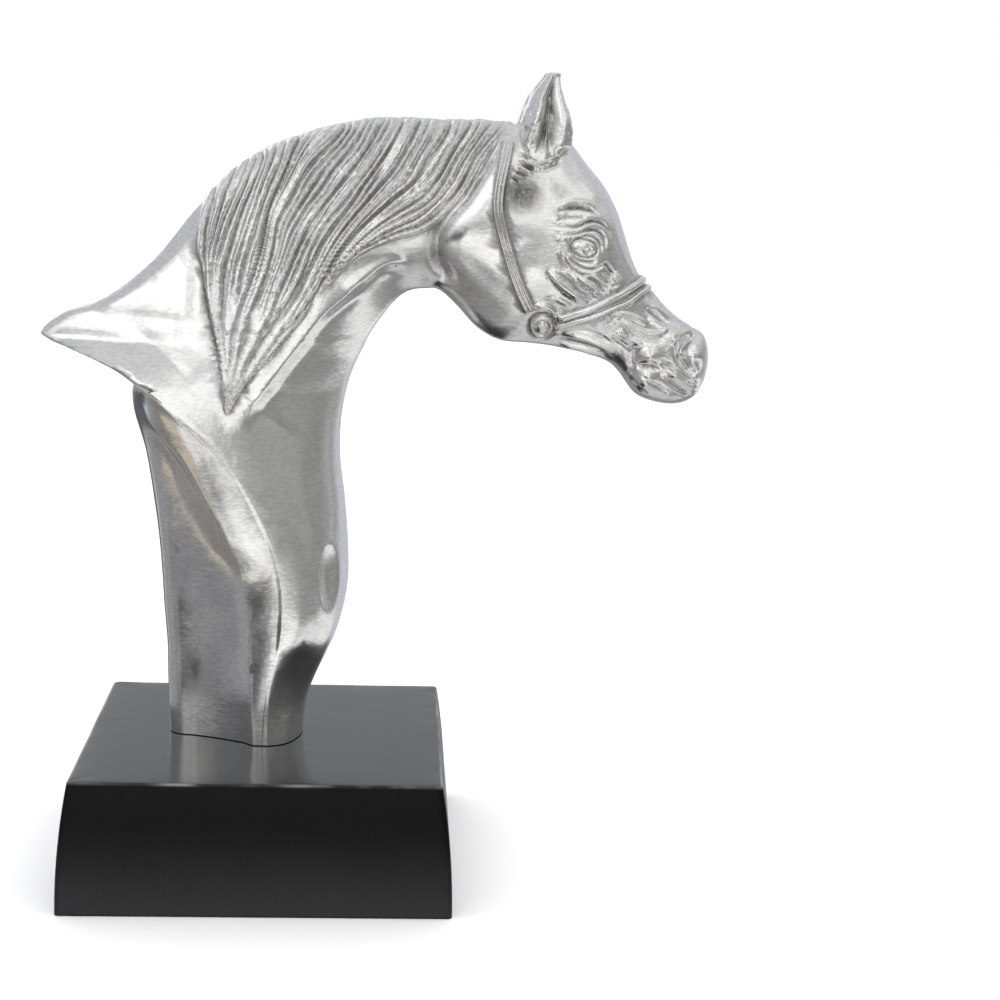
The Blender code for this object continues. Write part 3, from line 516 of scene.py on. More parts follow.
def sash(x, z):
    """A band that widens down the neck and leans upwards, with a quick step down at its lower edge."""
    away, side, along = measure(x, z, trace(NECK_SASH, 5))
    below = away * side
    ends = eased(along, 0.0, 0.25) * eased(1.0 - along, 0.0, 0.22)
    rise = np.clip(1.0 + below / SASH_REACH, 0.0, 1.0)
    return ends * SASH_RAISE * rise * (1.0 - eased(below, -0.5, 5.0))


def ridge_line():
    """The neck's ridge, from its upper end down to the foot."""
    places = []
    for top, low, _, _, lanes in SECTIONS[:RIDGE_SECTIONS]:
        share = lanes[RIDGE_LANE - 1][0]
        places.append((top[0] + share * (low[0] - top[0]), top[1] + share * (low[1] - top[1])))
    return trace(places[::-1], 5)


def rear_panel(x, z):
    """The sunk rear panel, and beside it the band that ends at the ridge, which is broad and leans up
    above and flat lower down."""
    away, side, _ = measure(x, z, trace(ROLL_CREST, 5))
    past = away * side
    ridge_away, ridge_side, _ = measure(x, z, ridge_line())
    beyond = ridge_away * ridge_side
    change = eased(z, *ROLL_CHANGE)
    apex = eased(ROLL_APEX[0] - z, 0.0, ROLL_APEX[1])
    tall = (ROLL_RAISE[0] + (ROLL_RAISE[1] - ROLL_RAISE[0]) * change) * apex
    dip = (ROLL_DIP[0] + (ROLL_DIP[1] - ROLL_DIP[0]) * change) * apex
    share = np.clip(past / (np.abs(past) + ridge_away + 1e-6), 0.0, 1.0)
    band = tall * (1.0 - share) - dip * share
    reach = 3.0 + 9.0 * change
    panel_side = tall * np.clip(1.0 + past / reach, 0.0, 1.0) ** 1.5
    chest_side = -dip * (1.0 - eased(beyond, 0.0, 1.8))
    out = np.where(beyond > 0.0, chest_side, np.where(past > 0.0, band, panel_side))
    border_away, border_side, _ = measure(x, z, trace(PANEL_REAR, 5))
    sunk = eased(border_away * border_side, 0.0, 3.2) * (1.0 - eased(past, -4.5, -0.6))
    near = (x < 14.0) & (z < 128.0)
    return np.where(near, out - PANEL_SINK * sunk, 0.0)


def dimple(x, z):
    """A long shallow dent low on the chest, with a slightly raised rim."""
    away = np.hypot((x - DIMPLE[0]) / DIMPLE_REACH[0], (z - DIMPLE[1]) / DIMPLE_REACH[1])
    return swell(away, 1.15, 0.16, 0.2) - DIMPLE_DEPTH * np.clip(1.0 - away * away, 0.0, 1.0)


def mound(x, z, centre, reach, height):
    """A round rise about a centre, or a dent if height is below 0."""
    away = np.hypot(x - centre[0], z - centre[1]) / reach
    return height * np.exp(-away * away)


def waves(u, v, seed):
    """Smooth random waves from -1 to 1, one step apart, the same in each run."""
    table = np.random.default_rng(seed).uniform(-1.0, 1.0, (256, 256))
    column = np.floor(u).astype(int)
    row = np.floor(v).astype(int)
    right = eased(u - column, 0.0, 1.0)
    up = eased(v - row, 0.0, 1.0)
    corners = [table[(column + i) % 256, (row + j) % 256] for i in (0, 1) for j in (0, 1)]
    low = corners[0] + (corners[2] - corners[0]) * right
    high = corners[1] + (corners[3] - corners[1]) * right
    return low + (high - low) * up


def mane_run(x, z):
    """Where each place lies between the mane's edges, from 0 to 1, how wide the mane is there, and how
    far inside the mane it is."""
    lines = [trace(MANE_REAR, 4), *[trace(run, 4) for run in MANE_RUNS], trace(MANE_LOWER, 4)]
    found = [measure(x, z, line) for line in lines]
    signed = [away * side for away, side, _ in found]
    last = len(lines) - 1
    across = np.zeros(x.shape)
    for i in range(last):
        gap = found[i][0] + found[i + 1][0] + 1e-6
        between = (signed[i] > 0) & (signed[i + 1] <= 0)
        across = np.where(between, (i + found[i][0] / gap) / last, across)
    across = np.where(signed[last] > 0, 1.0, across)
    return across, found[0][0] + found[last][0] + 1e-6, np.minimum(signed[0], -signed[last])


def mane(x, z, y, shift):
    """Locks that run from the crest and draw together towards the mane's lower tip, and their mask."""
    across, span, edge = mane_run(x, z)
    down = np.hypot(x - MANE_TIP[0], z - MANE_TIP[1]) + FAR_SHIFT[1] * shift
    strand = across + FAR_SHIFT[0] * shift
    for i, (rate, length, reach) in enumerate(STRAND_WANDER):
        strand = strand + reach * waves(rate * across, down / length, 3 + i)
    edge = edge + 0.9 * waves(26.0 * across, down / 6.0, 5)
    inside = eased(edge, -0.8, 1.2)
    calm = 0.15 + 0.85 * eased(y, 1.5, 7.5)
    height = MANE_RAISE * (0.5 + 0.5 * calm)
    for i, (count, tall, start, needs) in enumerate(LOCKS):
        crown = np.abs(np.sin(math.pi * (count * strand + start))) ** LOCK_ROUNDNESS
        room = eased(span / count, *needs)
        uneven = 1.0 + (0.5 + 0.12 * i) * waves(count * strand + 7.0 * i, down / (16.0 - 3.0 * i), 10 + i)
        height = height + calm * room * tall * uneven * (crown - LOCK_LEVEL)
    height = height + 0.18 * calm * waves(x / 0.9, z / 1.4, 21)
    return inside * height, inside, strand


def jowl(x, z):
    """The round cheek plate and the groove behind its rear edge, which both fade out towards the jaw."""
    away, side, along = measure(x, z, trace(JOWL_EDGE, 5))
    inward = away * side
    ends = eased(along, 0.0, 0.12)
    plate = eased(inward, -1.2, 7.0) * (1.0 - eased(inward, 10.0, 32.0)) * eased(z, 150.0, 182.0)
    groove = swell(inward, -1.8, 2.2, 1.0) * eased(z, 160.0, 170.0)
    return ends * (JOWL_RAISE * plate - JOWL_GROOVE * groove)


def rosette(x, z):
    """The round boss where the straps meet, with a raised rim, and the loop that holds it."""
    away = np.hypot(x - ROSETTE[0], z - ROSETTE[1])
    boss = 1.5 * (1.0 - eased(away, *ROSETTE_EDGE))
    rim_groove = swell(away, 2.5, 0.5, -0.7)
    outline = swell(away, 4.6, 0.6, -0.6)
    return boss + rim_groove + outline + stroke(x, z, ROSETTE_LOOP, 1.1, 1.3)


def eye(x, z):
    """The eyeball in its socket, with a pupil and a rim."""
    dx = x - EYE[0]
    dz = z - EYE[1]
    along = dx * math.cos(EYE_TILT) + dz * math.sin(EYE_TILT)
    up = dz * math.cos(EYE_TILT) - dx * math.sin(EYE_TILT)
    ring = np.hypot(along / EYE_REACH[0], up / EYE_REACH[1])
    ball = EYEBALL * np.sqrt(np.clip(1.0 - ring * ring, 0.0, 1.0))
    pupil = swell(np.hypot(along - 1.3, up + 0.5), 1.1, 0.45, -0.5) * (ring < 1.0)
    rim = swell(ring, 1.04, 0.12, -0.7)
    socket = swell(ring, 0.0, 1.9, -0.8)
    return ball + pupil + rim + socket


def nostril(x, z):
    """A curled groove round a bulging wing."""
    wing = mound(x, z, NOSTRIL_WING, 2.6, 0.9)
    return wing + stroke(x, z, NOSTRIL_GROOVE, 1.5, -3.0, 0.2) + mound(x, z, NOSTRIL_PIT, 1.2, -0.7)


def carving(x, z, y, shift):
    """How far the carving stands out from the plain form, how much of that is broad form, and the
    mane's mask and strands."""
    out, inside, strand = mane(x, z, y, shift * eased(y, 0.0, 7.0))
    broad = sash(x, z) + rear_panel(x, z) + dimple(x, z) + stroke(x, z, CHEST_TURN, 3.2, -0.4)
    out = out + broad + stroke(x, z, NECK_CORD, 1.8, 1.0) + stroke(x, z, NECK_GROOVE, 1.8, -0.8)
    out += jowl(x, z)
    out += strap(x, z, CHEEK_STRAP, 1.9, 1.4, 3)
    out += strap(x, z, NOSEBAND, 1.3, 1.5, 1) + strap(x, z, LOWER_CORD, 0.9, 1.1, 1)
    out += rosette(x, z)
    out += eye(x, z) + mound(x, z, TEMPLE, 5.0, -1.8)
    for lines, deeper in LINE_SETS:
        for points, width, height in lines:
            out += stroke(x, z, points, width, deeper * height)
    out += nostril(x, z) + mound(x, z, CHIN, 4.0, 0.8)
    for centre, reach, height in LIP_BULGES:
        out += mound(x, z, centre, reach, height)
    return out, broad, inside, strand


def ring_rows():
    """Every ring's two ends, lanes and sharpness, read from a smooth run through the sections."""
    rows = np.array(
        [[*top, *low, *np.ravel(lanes), sharp, pace] for top, low, sharp, pace, lanes in SECTIONS]
    )
    top_move = np.linalg.norm(np.diff(rows[:, 0:2], axis=0), axis=1)
    low_move = np.linalg.norm(np.diff(rows[:, 2:4], axis=0), axis=1)
    gaps = 0.5 * (top_move + low_move)
    worth = np.concatenate([[0.0], np.cumsum(np.maximum(top_move, low_move) * rows[:-1, -1])])
    knots = np.concatenate([[0.0], np.cumsum(gaps)])
    at = np.interp(np.linspace(0.0, worth[-1], RINGS), worth, knots)
    return smooth_rows(rows, gaps, at)


def half_rings():
    """The plain form's rings on one side, as (ring, step, xyz), from the top line to the low line."""
    rows = ring_rows()
    top = rows[:, 0:2]
    low = rows[:, 2:4]
    lanes = rows[:, 4:16].reshape(len(rows), 6, 2)
    sharp = rows[:, 16][:, None]
    points = [np.column_stack([top[:, 0], np.zeros(len(rows)), top[:, 1]])]
    for i in range(lanes.shape[1]):
        place = top + lanes[:, i, 0:1] * (low - top)
        points.append(np.column_stack([place[:, 0], lanes[:, i, 1], place[:, 1]]))
    points.append(np.column_stack([low[:, 0], np.zeros(len(rows)), low[:, 1]]))
    mirror = np.array([1.0, -1.0, 1.0])
    chain = [points[1] * mirror, *points, points[-2] * mirror]
    gaps = [np.linalg.norm(b - a, axis=1)[:, None] ** 0.6 + 1e-4 for a, b in zip(chain[:-1], chain[1:])]
    steps = [(b - a) / gap for a, b, gap in zip(chain[:-1], chain[1:], gaps)]
    grid = []
    for i, count in enumerate(LANE_STEPS):
        gap = gaps[i + 1]
        start = (steps[i] * gap + steps[i + 1] * gaps[i]) / (gap + gaps[i])
        end = (steps[i + 1] * gaps[i + 2] + steps[i + 2] * gap) / (gap + gaps[i + 2])
        if i == RIDGE_LANE:
            start = start + (steps[i + 1] - start) * sharp
        if i + 1 == RIDGE_LANE:
            end = end + (steps[i + 1] - end) * sharp
        for j in range(count):
            grid.append(blend_span(points[i], points[i + 1], start * gap, end * gap, j / count))
    grid.append(points[-1])
    return np.stack(grid, axis=1)


def blurred(values, times):
    """Values on the closed grid, each mixed with its neighbours a number of times."""
    for _ in range(times):
        around = 0.5 * values + 0.25 * (np.roll(values, 1, axis=1) + np.roll(values, -1, axis=1))
        padded = np.concatenate([around[:1], around, around[-1:]])
        values = 0.5 * around + 0.25 * (padded[:-2] + padded[2:])
    return values


def round_the_ring(near, far):
    """One side's values from the top line down, then the other side's back up."""
    return np.concatenate([near, far[:, -2:0:-1]], axis=1)


def casting_grid():
    """Closed rings round the whole form, with the values that colour it: how hollow each place is, with
    painted shade added at a few spots, whether it is hair, along which strand it lies, and how much of its
    cast skin is left."""
    half = half_rings()
    near = half * np.array([1.0, -1.0, 1.0])
    plain = round_the_ring(near, half)
    along = np.gradient(plain, axis=0)
    around = np.roll(plain, -1, axis=1) - np.roll(plain, 1, axis=1)
    normal = np.cross(around, along)
    normal /= np.linalg.norm(normal, axis=2, keepdims=True) + 1e-9
    sides = [carving(half[:, :, 0], half[:, :, 2], half[:, :, 1], shift) for shift in (0.0, 1.0)]
    height, broad, hair, strand = [round_the_ring(a, b) for a, b in zip(*sides)]
    shaped = plain + normal * height[:, :, None]
    shaped[0, :, 2] = plain[0, :, 2]
    # Painted shade: dark spots at the temple and behind the jowl, added to the hollow value
    painted_shade = sum(mound(half[:, :, 0], half[:, :, 2], *shade) for shade in SHADED)
    detail = height - broad
    # The hollow value darkens the grooves: patina, and painted shade where shade falls in them
    hollow = eased(blurred(detail, 14) - detail, 0.06, 0.55) * (1.0 - 0.12 * hair)
    hollow = np.clip(hollow + round_the_ring(painted_shade, painted_shade), 0.0, 1.0)
    spots = sum(mound(half[:, :, 0], half[:, :, 2], place, reach, 1.0) for place, reach in UNPOLISHED)
    cast = np.clip(hair + round_the_ring(spots, spots), 0.0, 1.0)
    return shaped, {"hollow": hollow, "hair": hair, "strand": strand, "cast": cast}


def mesh_from_rings(name, grid):
    """A closed mesh from rings of points, capped flat at both ends."""
    rings, sides, _ = grid.shape
    points = grid.reshape(-1, 3)
    ring, side = np.meshgrid(np.arange(rings - 1), np.arange(sides), indexing="ij")
    after = (side + 1) % sides
    quads = np.stack(
        [ring * sides + side, ring * sides + after, (ring + 1) * sides + after, (ring + 1) * sides + side],
        axis=-1,
    ).reshape(-1, 4)
    faces = [list(range(sides))[::-1], *quads.tolist(), [(rings - 1) * sides + j for j in range(sides)]]
    mesh = bpy.data.meshes.new(name)
    mesh.from_pydata(points.tolist(), [], faces)
    work = bmesh.new()
    work.from_mesh(mesh)
    bmesh.ops.recalc_face_normals(work, faces=work.faces)
    work.to_mesh(mesh)
    work.free()
    mesh.shade_smooth()
    return mesh


def placed(grid):
    """Drawn units to metres, with the foot standing on the plinth."""
    return grid * UNIT + np.array([0.0, 0.0, SEAT])


def add_object(name, mesh):
    made = bpy.data.objects.new(name, mesh)
    bpy.context.scene.collection.objects.link(made)
    return made


def settled(piece, name):
    """The piece with its modifiers applied, as a new object, with the old one removed."""
    bpy.context.view_layer.update()
    graph = bpy.context.evaluated_depsgraph_get()
    mesh = bpy.data.meshes.new_from_object(piece.evaluated_get(graph))
    mesh.name = name
    bpy.data.objects.remove(piece, do_unlink=True)
    return add_object(name, mesh)


def thinned(piece, faces):
    """The piece with its flatter faces joined up, until about that many triangles are left."""
    triangles = sum(len(face.vertices) - 2 for face in piece.data.polygons)
    thin = piece.modifiers.new("thin", "DECIMATE")
    thin.ratio = min(1.0, faces / triangles)
    return settled(piece, piece.name + "_thin")


def ear_grid(side):
    """An upright ear as rings round its own axis, hollow towards the viewer, with what colours it, and
    painted shade in its hollow.
    """
    levels = np.array(EAR_LEVEL)
    gaps = np.diff(levels[:, 0])
    rows = smooth_rows(levels, gaps, np.linspace(0.0, gaps.sum(), EAR_LEVELS))
    turn = np.linspace(0.0, 2 * math.pi, EAR_SIDES, endpoint=False)
    from_mouth = np.angle(np.exp(1j * (turn + EAR_TURN)))
    rings = []
    deeps = []
    for height, middle, away, half, hollow in rows:
        up = np.full(EAR_SIDES, height)
        low = 1.0 - eased(height, 208.0, 221.0)
        mouth = EAR_MOUTH * (1.0 + 0.5 * low)
        deep = max(hollow, 0.0) * (1.0 - eased(np.abs(from_mouth + 0.35 * low), 0.35 * mouth, 1.25 * mouth))
        hairs = 0.25 * deep * waves(from_mouth * 6.0 + 3.0, up / 5.0, 31)
        lobe = swell(from_mouth, 0.95, 0.42, 0.13) * eased(height, 205, 211)
        lobe = lobe * (1.0 - eased(height, 219, 225))
        lip = swell(np.abs(from_mouth), 1.3 * mouth, 0.16, 0.05) * (hollow > 0)
        worn = 0.03 * waves(turn * 2.5, up / 2.5, 33) + 0.018 * waves(turn * 7.0, up / 0.9, 34)
        radius = half * (1.0 + lobe + lip + worn - deep + hairs)
        x = middle + radius * np.cos(turn)
        y = -away + EAR_FLATNESS * radius * np.sin(turn)
        rings.append(np.column_stack([x, -side * y, up]))
        deeps.append(eased(deep, 0.1, 0.6))
    # Painted shade: the ear's deep cup is given a large hollow value, so it takes the darker colour
    dark = 0.75 * np.stack(deeps)
    bare = np.zeros(dark.shape)
    return np.stack(rings), {"hollow": dark, "hair": bare, "strand": bare, "cast": bare + 1.0}


def give_values(mesh, forms):
    """Hands each vertex the values of the place nearest to it on the finely ringed forms."""
    source = np.concatenate([placed(grid).reshape(-1, 3) for grid, _ in forms])
    tree = kdtree.KDTree(len(source))
    for i, place in enumerate(source):
        tree.insert(place, i)
    tree.balance()
    places = np.zeros(len(mesh.vertices) * 3, np.float32)
    mesh.vertices.foreach_get("co", places)
    nearest = np.array([tree.find(place)[1] for place in places.reshape(-1, 3).tolist()])
    for name in forms[0][1]:
        values = np.concatenate([given[name].reshape(-1) for _, given in forms])
        layer = mesh.attributes.new(name, "FLOAT", "POINT")
        layer.data.foreach_set("value", values[nearest].astype(np.float32))


def mark_foot_edge(mesh):
    """Keeps the foot's underside flat where it meets the rounded sides."""
    corners = np.zeros(len(mesh.vertices) * 3, np.float32)
    mesh.vertices.foreach_get("co", corners)
    on_seat = np.abs(corners.reshape(-1, 3)[:, 2] - SEAT) < 1e-6
    ends = np.zeros(len(mesh.edges) * 2, np.int32)
    mesh.edges.foreach_get("vertices", ends)
    sharp = on_seat[ends.reshape(-1, 2)].all(axis=1)
    mesh.attributes.new("sharp_edge", "BOOLEAN", "EDGE").data.foreach_set("value", sharp)


def make_casting():
    """Neck, head, mane and bridle in one casting, with both ears joined on."""
    forms = [casting_grid()]
    casting = thinned(add_object("form", mesh_from_rings("form", placed(forms[0][0]))), FACES_KEPT)
    ears = []
    for name, side in (("near_ear", -1), ("far_ear", 1)):
        forms.append(ear_grid(side))
        ear = thinned(add_object(name, mesh_from_rings(name, placed(forms[-1][0]))), EAR_FACES)
        ears.append(ear)
        join = casting.modifiers.new(name, "BOOLEAN")
        join.operation = "UNION"
        join.solver = "EXACT"
        join.object = ear
    casting = settled(casting, "horse_head_casting")
    for ear in ears:
        bpy.data.objects.remove(ear, do_unlink=True)
    give_values(casting.data, forms)
    casting.data.shade_smooth()
    mark_foot_edge(casting.data)
    return casting


def add_camera():
    data = bpy.data.cameras.new("camera")
    data.sensor_width = SENSOR
    data.lens = LENS
    data.clip_start = 0.01
    camera = bpy.data.objects.new("camera", data)
    bpy.context.scene.collection.objects.link(camera)
    turn = Matrix.Rotation(-CAMERA_YAW, 4, "Z") @ Matrix.Rotation(math.pi / 2 - CAMERA_PITCH, 4, "X")
    camera.matrix_world = Matrix.Translation(CAMERA_PLACE) @ turn @ Matrix.Rotation(CAMERA_ROLL, 4, "Z")
    bpy.context.scene.camera = camera


class Shading:
    """The nodes of one material or of the world, added one by one."""

    def __init__(self, tree):
        self.tree = tree

    def add(self, kind, **settings):
        made = self.tree.nodes.new(kind)
        for name, value in settings.items():
            setattr(made, name, value)
        return made

    def feed(self, socket, value):
        """Joins a socket to another node's output, or gives it a plain value."""
        if isinstance(value, bpy.types.NodeSocket):
            self.tree.links.new(value, socket)
        else:
            socket.default_value = value

    def math(self, operation, first, second=0.0, third=0.0):
        made = self.add("ShaderNodeMath", operation=operation)
        for socket, value in zip(made.inputs, (first, second, third)):
            self.feed(socket, value)
        return made.outputs[0]

    def ramp(self, value, low, high, start=0.0, end=1.0):
        """A smooth step: start where value is low, end where it is high."""
        made = self.add("ShaderNodeMapRange", interpolation_type="SMOOTHSTEP")
        named = {"Value": value, "From Min": low, "From Max": high, "To Min": start, "To Max": end}
        for name, given in named.items():
            self.feed(made.inputs[name], given)
        return made.outputs["Result"]

    def mix(self, share, first, second):
        made = self.add("ShaderNodeMix", data_type="RGBA")
        self.feed(made.inputs["Factor"], share)
        self.feed(made.inputs[6], first)
        self.feed(made.inputs[7], second)
        return made.outputs[2]

    def stretched(self, vector, scale):
        made = self.add("ShaderNodeVectorMath", operation="MULTIPLY")
        self.feed(made.inputs[0], vector)
        made.inputs[1].default_value = scale
        return made.outputs[0]

    def noise(self, vector, scale, detail=2.0, roughness=0.5):
        made = self.add("ShaderNodeTexNoise")
        self.feed(made.inputs["Vector"], vector)
        made.inputs["Scale"].default_value = scale
        made.inputs["Detail"].default_value = detail
        made.inputs["Roughness"].default_value = roughness
        return made.outputs["Fac"]

    def attribute(self, name):
        return self.add("ShaderNodeAttribute", attribute_name=name).outputs["Fac"]

    def place(self):
        return self.add("ShaderNodeTexCoord").outputs["Object"]

    def bump(self, height, distance, strength=1.0, normal=None):
        made = self.add("ShaderNodeBump")
        self.feed(made.inputs["Height"], height)
        made.inputs["Distance"].default_value = distance
        self.feed(made.inputs["Strength"], strength)
        if normal is not None:
            self.feed(made.inputs["Normal"], normal)
        return made.outputs["Normal"]


def new_material(name):
    made = bpy.data.materials.new(name)
    made.use_nodes = True
    return made, Shading(made.node_tree), made.node_tree.nodes["Principled BSDF"]


def grey(level, tint=(1.0, 1.0, 1.0)):
    return (level * tint[0], level * tint[1], level * tint[2], 1.0)


def polished_aluminium():
    """Cast aluminium, filed and polished by hand on its plain faces, left grainy and darker where it
    is carved: patina in its grooves and hollows, with painted shade there too."""
    made, shading, shader = new_material("polished_aluminium")
    place = shading.place()
    hollow = shading.attribute("hollow")
    hair = shading.attribute("hair")
    cast = shading.attribute("cast")
    cloud = shading.noise(place, 70.0, 3.0)
    speck = shading.noise(place, 900.0, 2.0)
    marks = shading.noise(shading.stretched(place, (0.38, 0.38, 1.0)), 1250.0, 2.0, 0.5)
    # Patina and painted shade: the hollow value darkens the metal in its grooves and hollows
    patina_and_shade = shading.math("MULTIPLY", hollow, shading.ramp(speck, 0.25, 0.6, 0.6, 1.0))
    dull = shading.math("MULTIPLY", cast, shading.ramp(speck, 0.35, 0.6, 0.1, 0.0))
    metal = shading.mix(shading.ramp(marks, 0.32, 0.68), grey(0.82, (1.0, 0.998, 0.985)), grey(0.93))
    metal = shading.mix(dull, metal, grey(0.34, (1.0, 0.995, 0.95)))
    metal = shading.mix(patina_and_shade, metal, grey(0.24, (1.0, 0.99, 0.90)))
    shading.feed(shader.inputs["Base Color"], metal)
    shader.inputs["Metallic"].default_value = 1.0
    rough = shading.ramp(cloud, 0.3, 0.7, 0.17, 0.24)
    rough = shading.math("ADD", rough, shading.math("MULTIPLY", cast, 0.03))
    rough = shading.math("ADD", rough, shading.math("MULTIPLY", hollow, 0.25))
    shading.feed(shader.inputs["Roughness"], rough)
    wobble = shading.bump(shading.noise(place, 120.0, 2.0), POLISH_WAVES)
    filed = shading.bump(marks, FILE_MARKS, normal=wobble)
    grain = shading.noise(place, 620.0, 2.0, 0.5)
    grainy = shading.bump(grain, CAST_GRAIN, shading.ramp(cast, 0.0, 1.0, 0.14, 1.0), filed)
    lines = shading.add("ShaderNodeCombineXYZ")
    shading.feed(lines.inputs[0], shading.math("MULTIPLY", shading.attribute("strand"), 110.0))
    split = shading.add("ShaderNodeSeparateXYZ")
    shading.feed(split.inputs[0], place)
    shading.feed(lines.inputs[1], shading.math("MULTIPLY", split.outputs[2], 120.0))
    hairs = shading.noise(lines.outputs[0], 1.0, 2.0)
    shading.feed(shader.inputs["Normal"], shading.bump(hairs, HAIR_LINES, hair, grainy))
    return made


def black_lacquer():
    """Black lacquer over wood, satin, with faint level brush marks, a painted reflection of the floor that
    lightens the sides a little low down, a top face painted a shade lighter, and a rubbed top edge that is
    also a painted highlight line.
    """
    made, shading, shader = new_material("black_lacquer")
    place = shading.place()
    split = shading.add("ShaderNodeSeparateXYZ")
    shading.feed(split.inputs[0], place)
    cloud = shading.noise(place, 40.0, 4.0, 0.6)
    low = shading.ramp(split.outputs[2], 0.0, 0.034, 1.0, 0.0)
    top = shading.ramp(split.outputs[2], PLINTH_HIGH.z - 0.0012, PLINTH_HIGH.z - 0.0002)
    # Painted reflection of the pale floor: the sides are a little lighter low down
    painted_floor_reflection = shading.math("MULTIPLY", low, shading.ramp(cloud, 0.3, 0.7, 0.8, 1.0))
    colour = shading.mix(painted_floor_reflection, grey(0.003), grey(0.018, (0.96, 0.97, 1.06)))
    # Rubbed lacquer along the top edge, lighter, which is also a painted highlight line
    patchy = shading.ramp(shading.noise(place, 45.0), 0.38, 0.68)
    worn = shading.math("MULTIPLY", shading.attribute("edge"), patchy)
    # Painted light: the top face is a shade lighter black than the upper sides
    colour = shading.mix(worn, shading.mix(top, colour, grey(0.008)), grey(0.26, (0.98, 0.99, 1.02)))
    shading.feed(shader.inputs["Base Color"], colour)
    smooth = shading.math("MULTIPLY", top, -0.13)
    rough = shading.math("ADD", smooth, shading.ramp(cloud, 0.3, 0.7, 0.25, 0.32))
    shading.feed(shader.inputs["Roughness"], rough)
    level = shading.math("MAXIMUM", shading.math("MULTIPLY", low, 0.45), top)
    shading.feed(shader.inputs["Specular IOR Level"], shading.math("MULTIPLY_ADD", level, 0.34, 0.12))
    brushed = shading.noise(shading.stretched(place, (0.15, 0.15, 1.0)), 900.0, 3.0)
    marked = shading.bump(brushed, BRUSH_MARKS)
    uneven = shading.bump(shading.noise(place, 180.0, 3.0), LACQUER_SKIN, normal=marked)
    shading.feed(shader.inputs["Normal"], uneven)
    return made


def pale_floor():
    made, shading, shader = new_material("pale_floor")
    place = shading.place()
    cloud = shading.noise(place, 3.0, 2.0)
    shading.feed(shader.inputs["Base Color"], shading.mix(cloud, grey(0.93), grey(0.95)))
    shader.inputs["Roughness"].default_value = 0.9
    return made


# The studio as the metal reflects it. First its level from straight down to straight up, as degrees
# above the horizon and brightness, then soft cards: each one's middle as degrees to the left of the
# camera and above the horizon, its width and height in degrees, how soft its edges are, its
# brightness and its tint
SOFT_WHITE = (1.0, 1.0, 0.99)
SKY = ((-72, 0.60), (-52, 0.26), (-34, 0.30), (-8, 0.34), (14, 0.50), (45, 0.66))
CARDS = (
    ("wall_right", -66, -3, 118, 40, 6, 0.34, (1.0, 1.0, 0.96)),
    ("wall_right_low", -50, -13, 84, 12, 5, 0.25, (1.0, 1.0, 0.95)),
    ("wall_stripe", -66, -4, 14, 26, 7, 0.25, (1.0, 1.0, 0.97)),
    ("wall_strip_pale", -98, 2, 14, 26, 6, 0.42, (1.0, 1.0, 0.98)),
    ("wall_behind_right", -150, 10, 62, 84, 9, 0.60, (0.94, 0.98, 1.06)),
    ("behind", 180, 20, 50, 40, 8, 0.72, (0.97, 0.99, 1.04)),
    ("wall_left", 100, 34, 100, 44, 8, 0.55, (0.96, 0.99, 1.05)),
    ("above_camera", -14, 38, 50, 36, 8, 0.95, SOFT_WHITE),
    ("beside_camera", 5, 7, 24, 28, 4, 1.15, SOFT_WHITE),
    ("window", 36, 16, 40, 50, 8, 0.78, SOFT_WHITE),
    ("window_core", 33, 20, 16, 30, 7, 1.5, SOFT_WHITE),
    ("back_left", 150, 18, 36, 34, 6, 1.15, (0.98, 1.0, 1.03)),
    ("low_left", 88, -18, 64, 20, 5, 0.30, (0.97, 0.98, 1.03)),
    ("pale_back", 121, -16, 14, 14, 3, 0.60, (0.97, 1.0, 1.03)),
    ("dark_back", 142, -18, 24, 18, 4, 0.09, (0.92, 1.0, 1.15)),
    ("panel_left", 52, -18, 24, 14, 4, 0.20, (0.96, 0.98, 1.08)),
    ("under_camera", 10, -50, 44, 26, 5, 0.80, (1.0, 1.0, 0.98)),
    ("table", 2, -27, 36, 19, 2.5, 1.15, SOFT_WHITE),
    ("table_left", 29, -29, 24, 10, 3, 1.05, (1.0, 0.99, 0.93)),
    ("dark_left", 31, -15, 18, 15, 2.5, 0.02, (0.9, 1.0, 1.2)),
    ("warm", 60, -31, 34, 8, 3, 0.60, (1.1, 0.95, 0.72)),
    ("warm_low", 95, -37, 52, 14, 5, 0.22, (1.04, 0.98, 0.88)),
    ("dark_low", 24, -37, 14, 8, 3, 0.10, (0.9, 0.98, 1.2)),
    ("white_low", -78, -31, 118, 14, 3, 0.90, SOFT_WHITE),
)


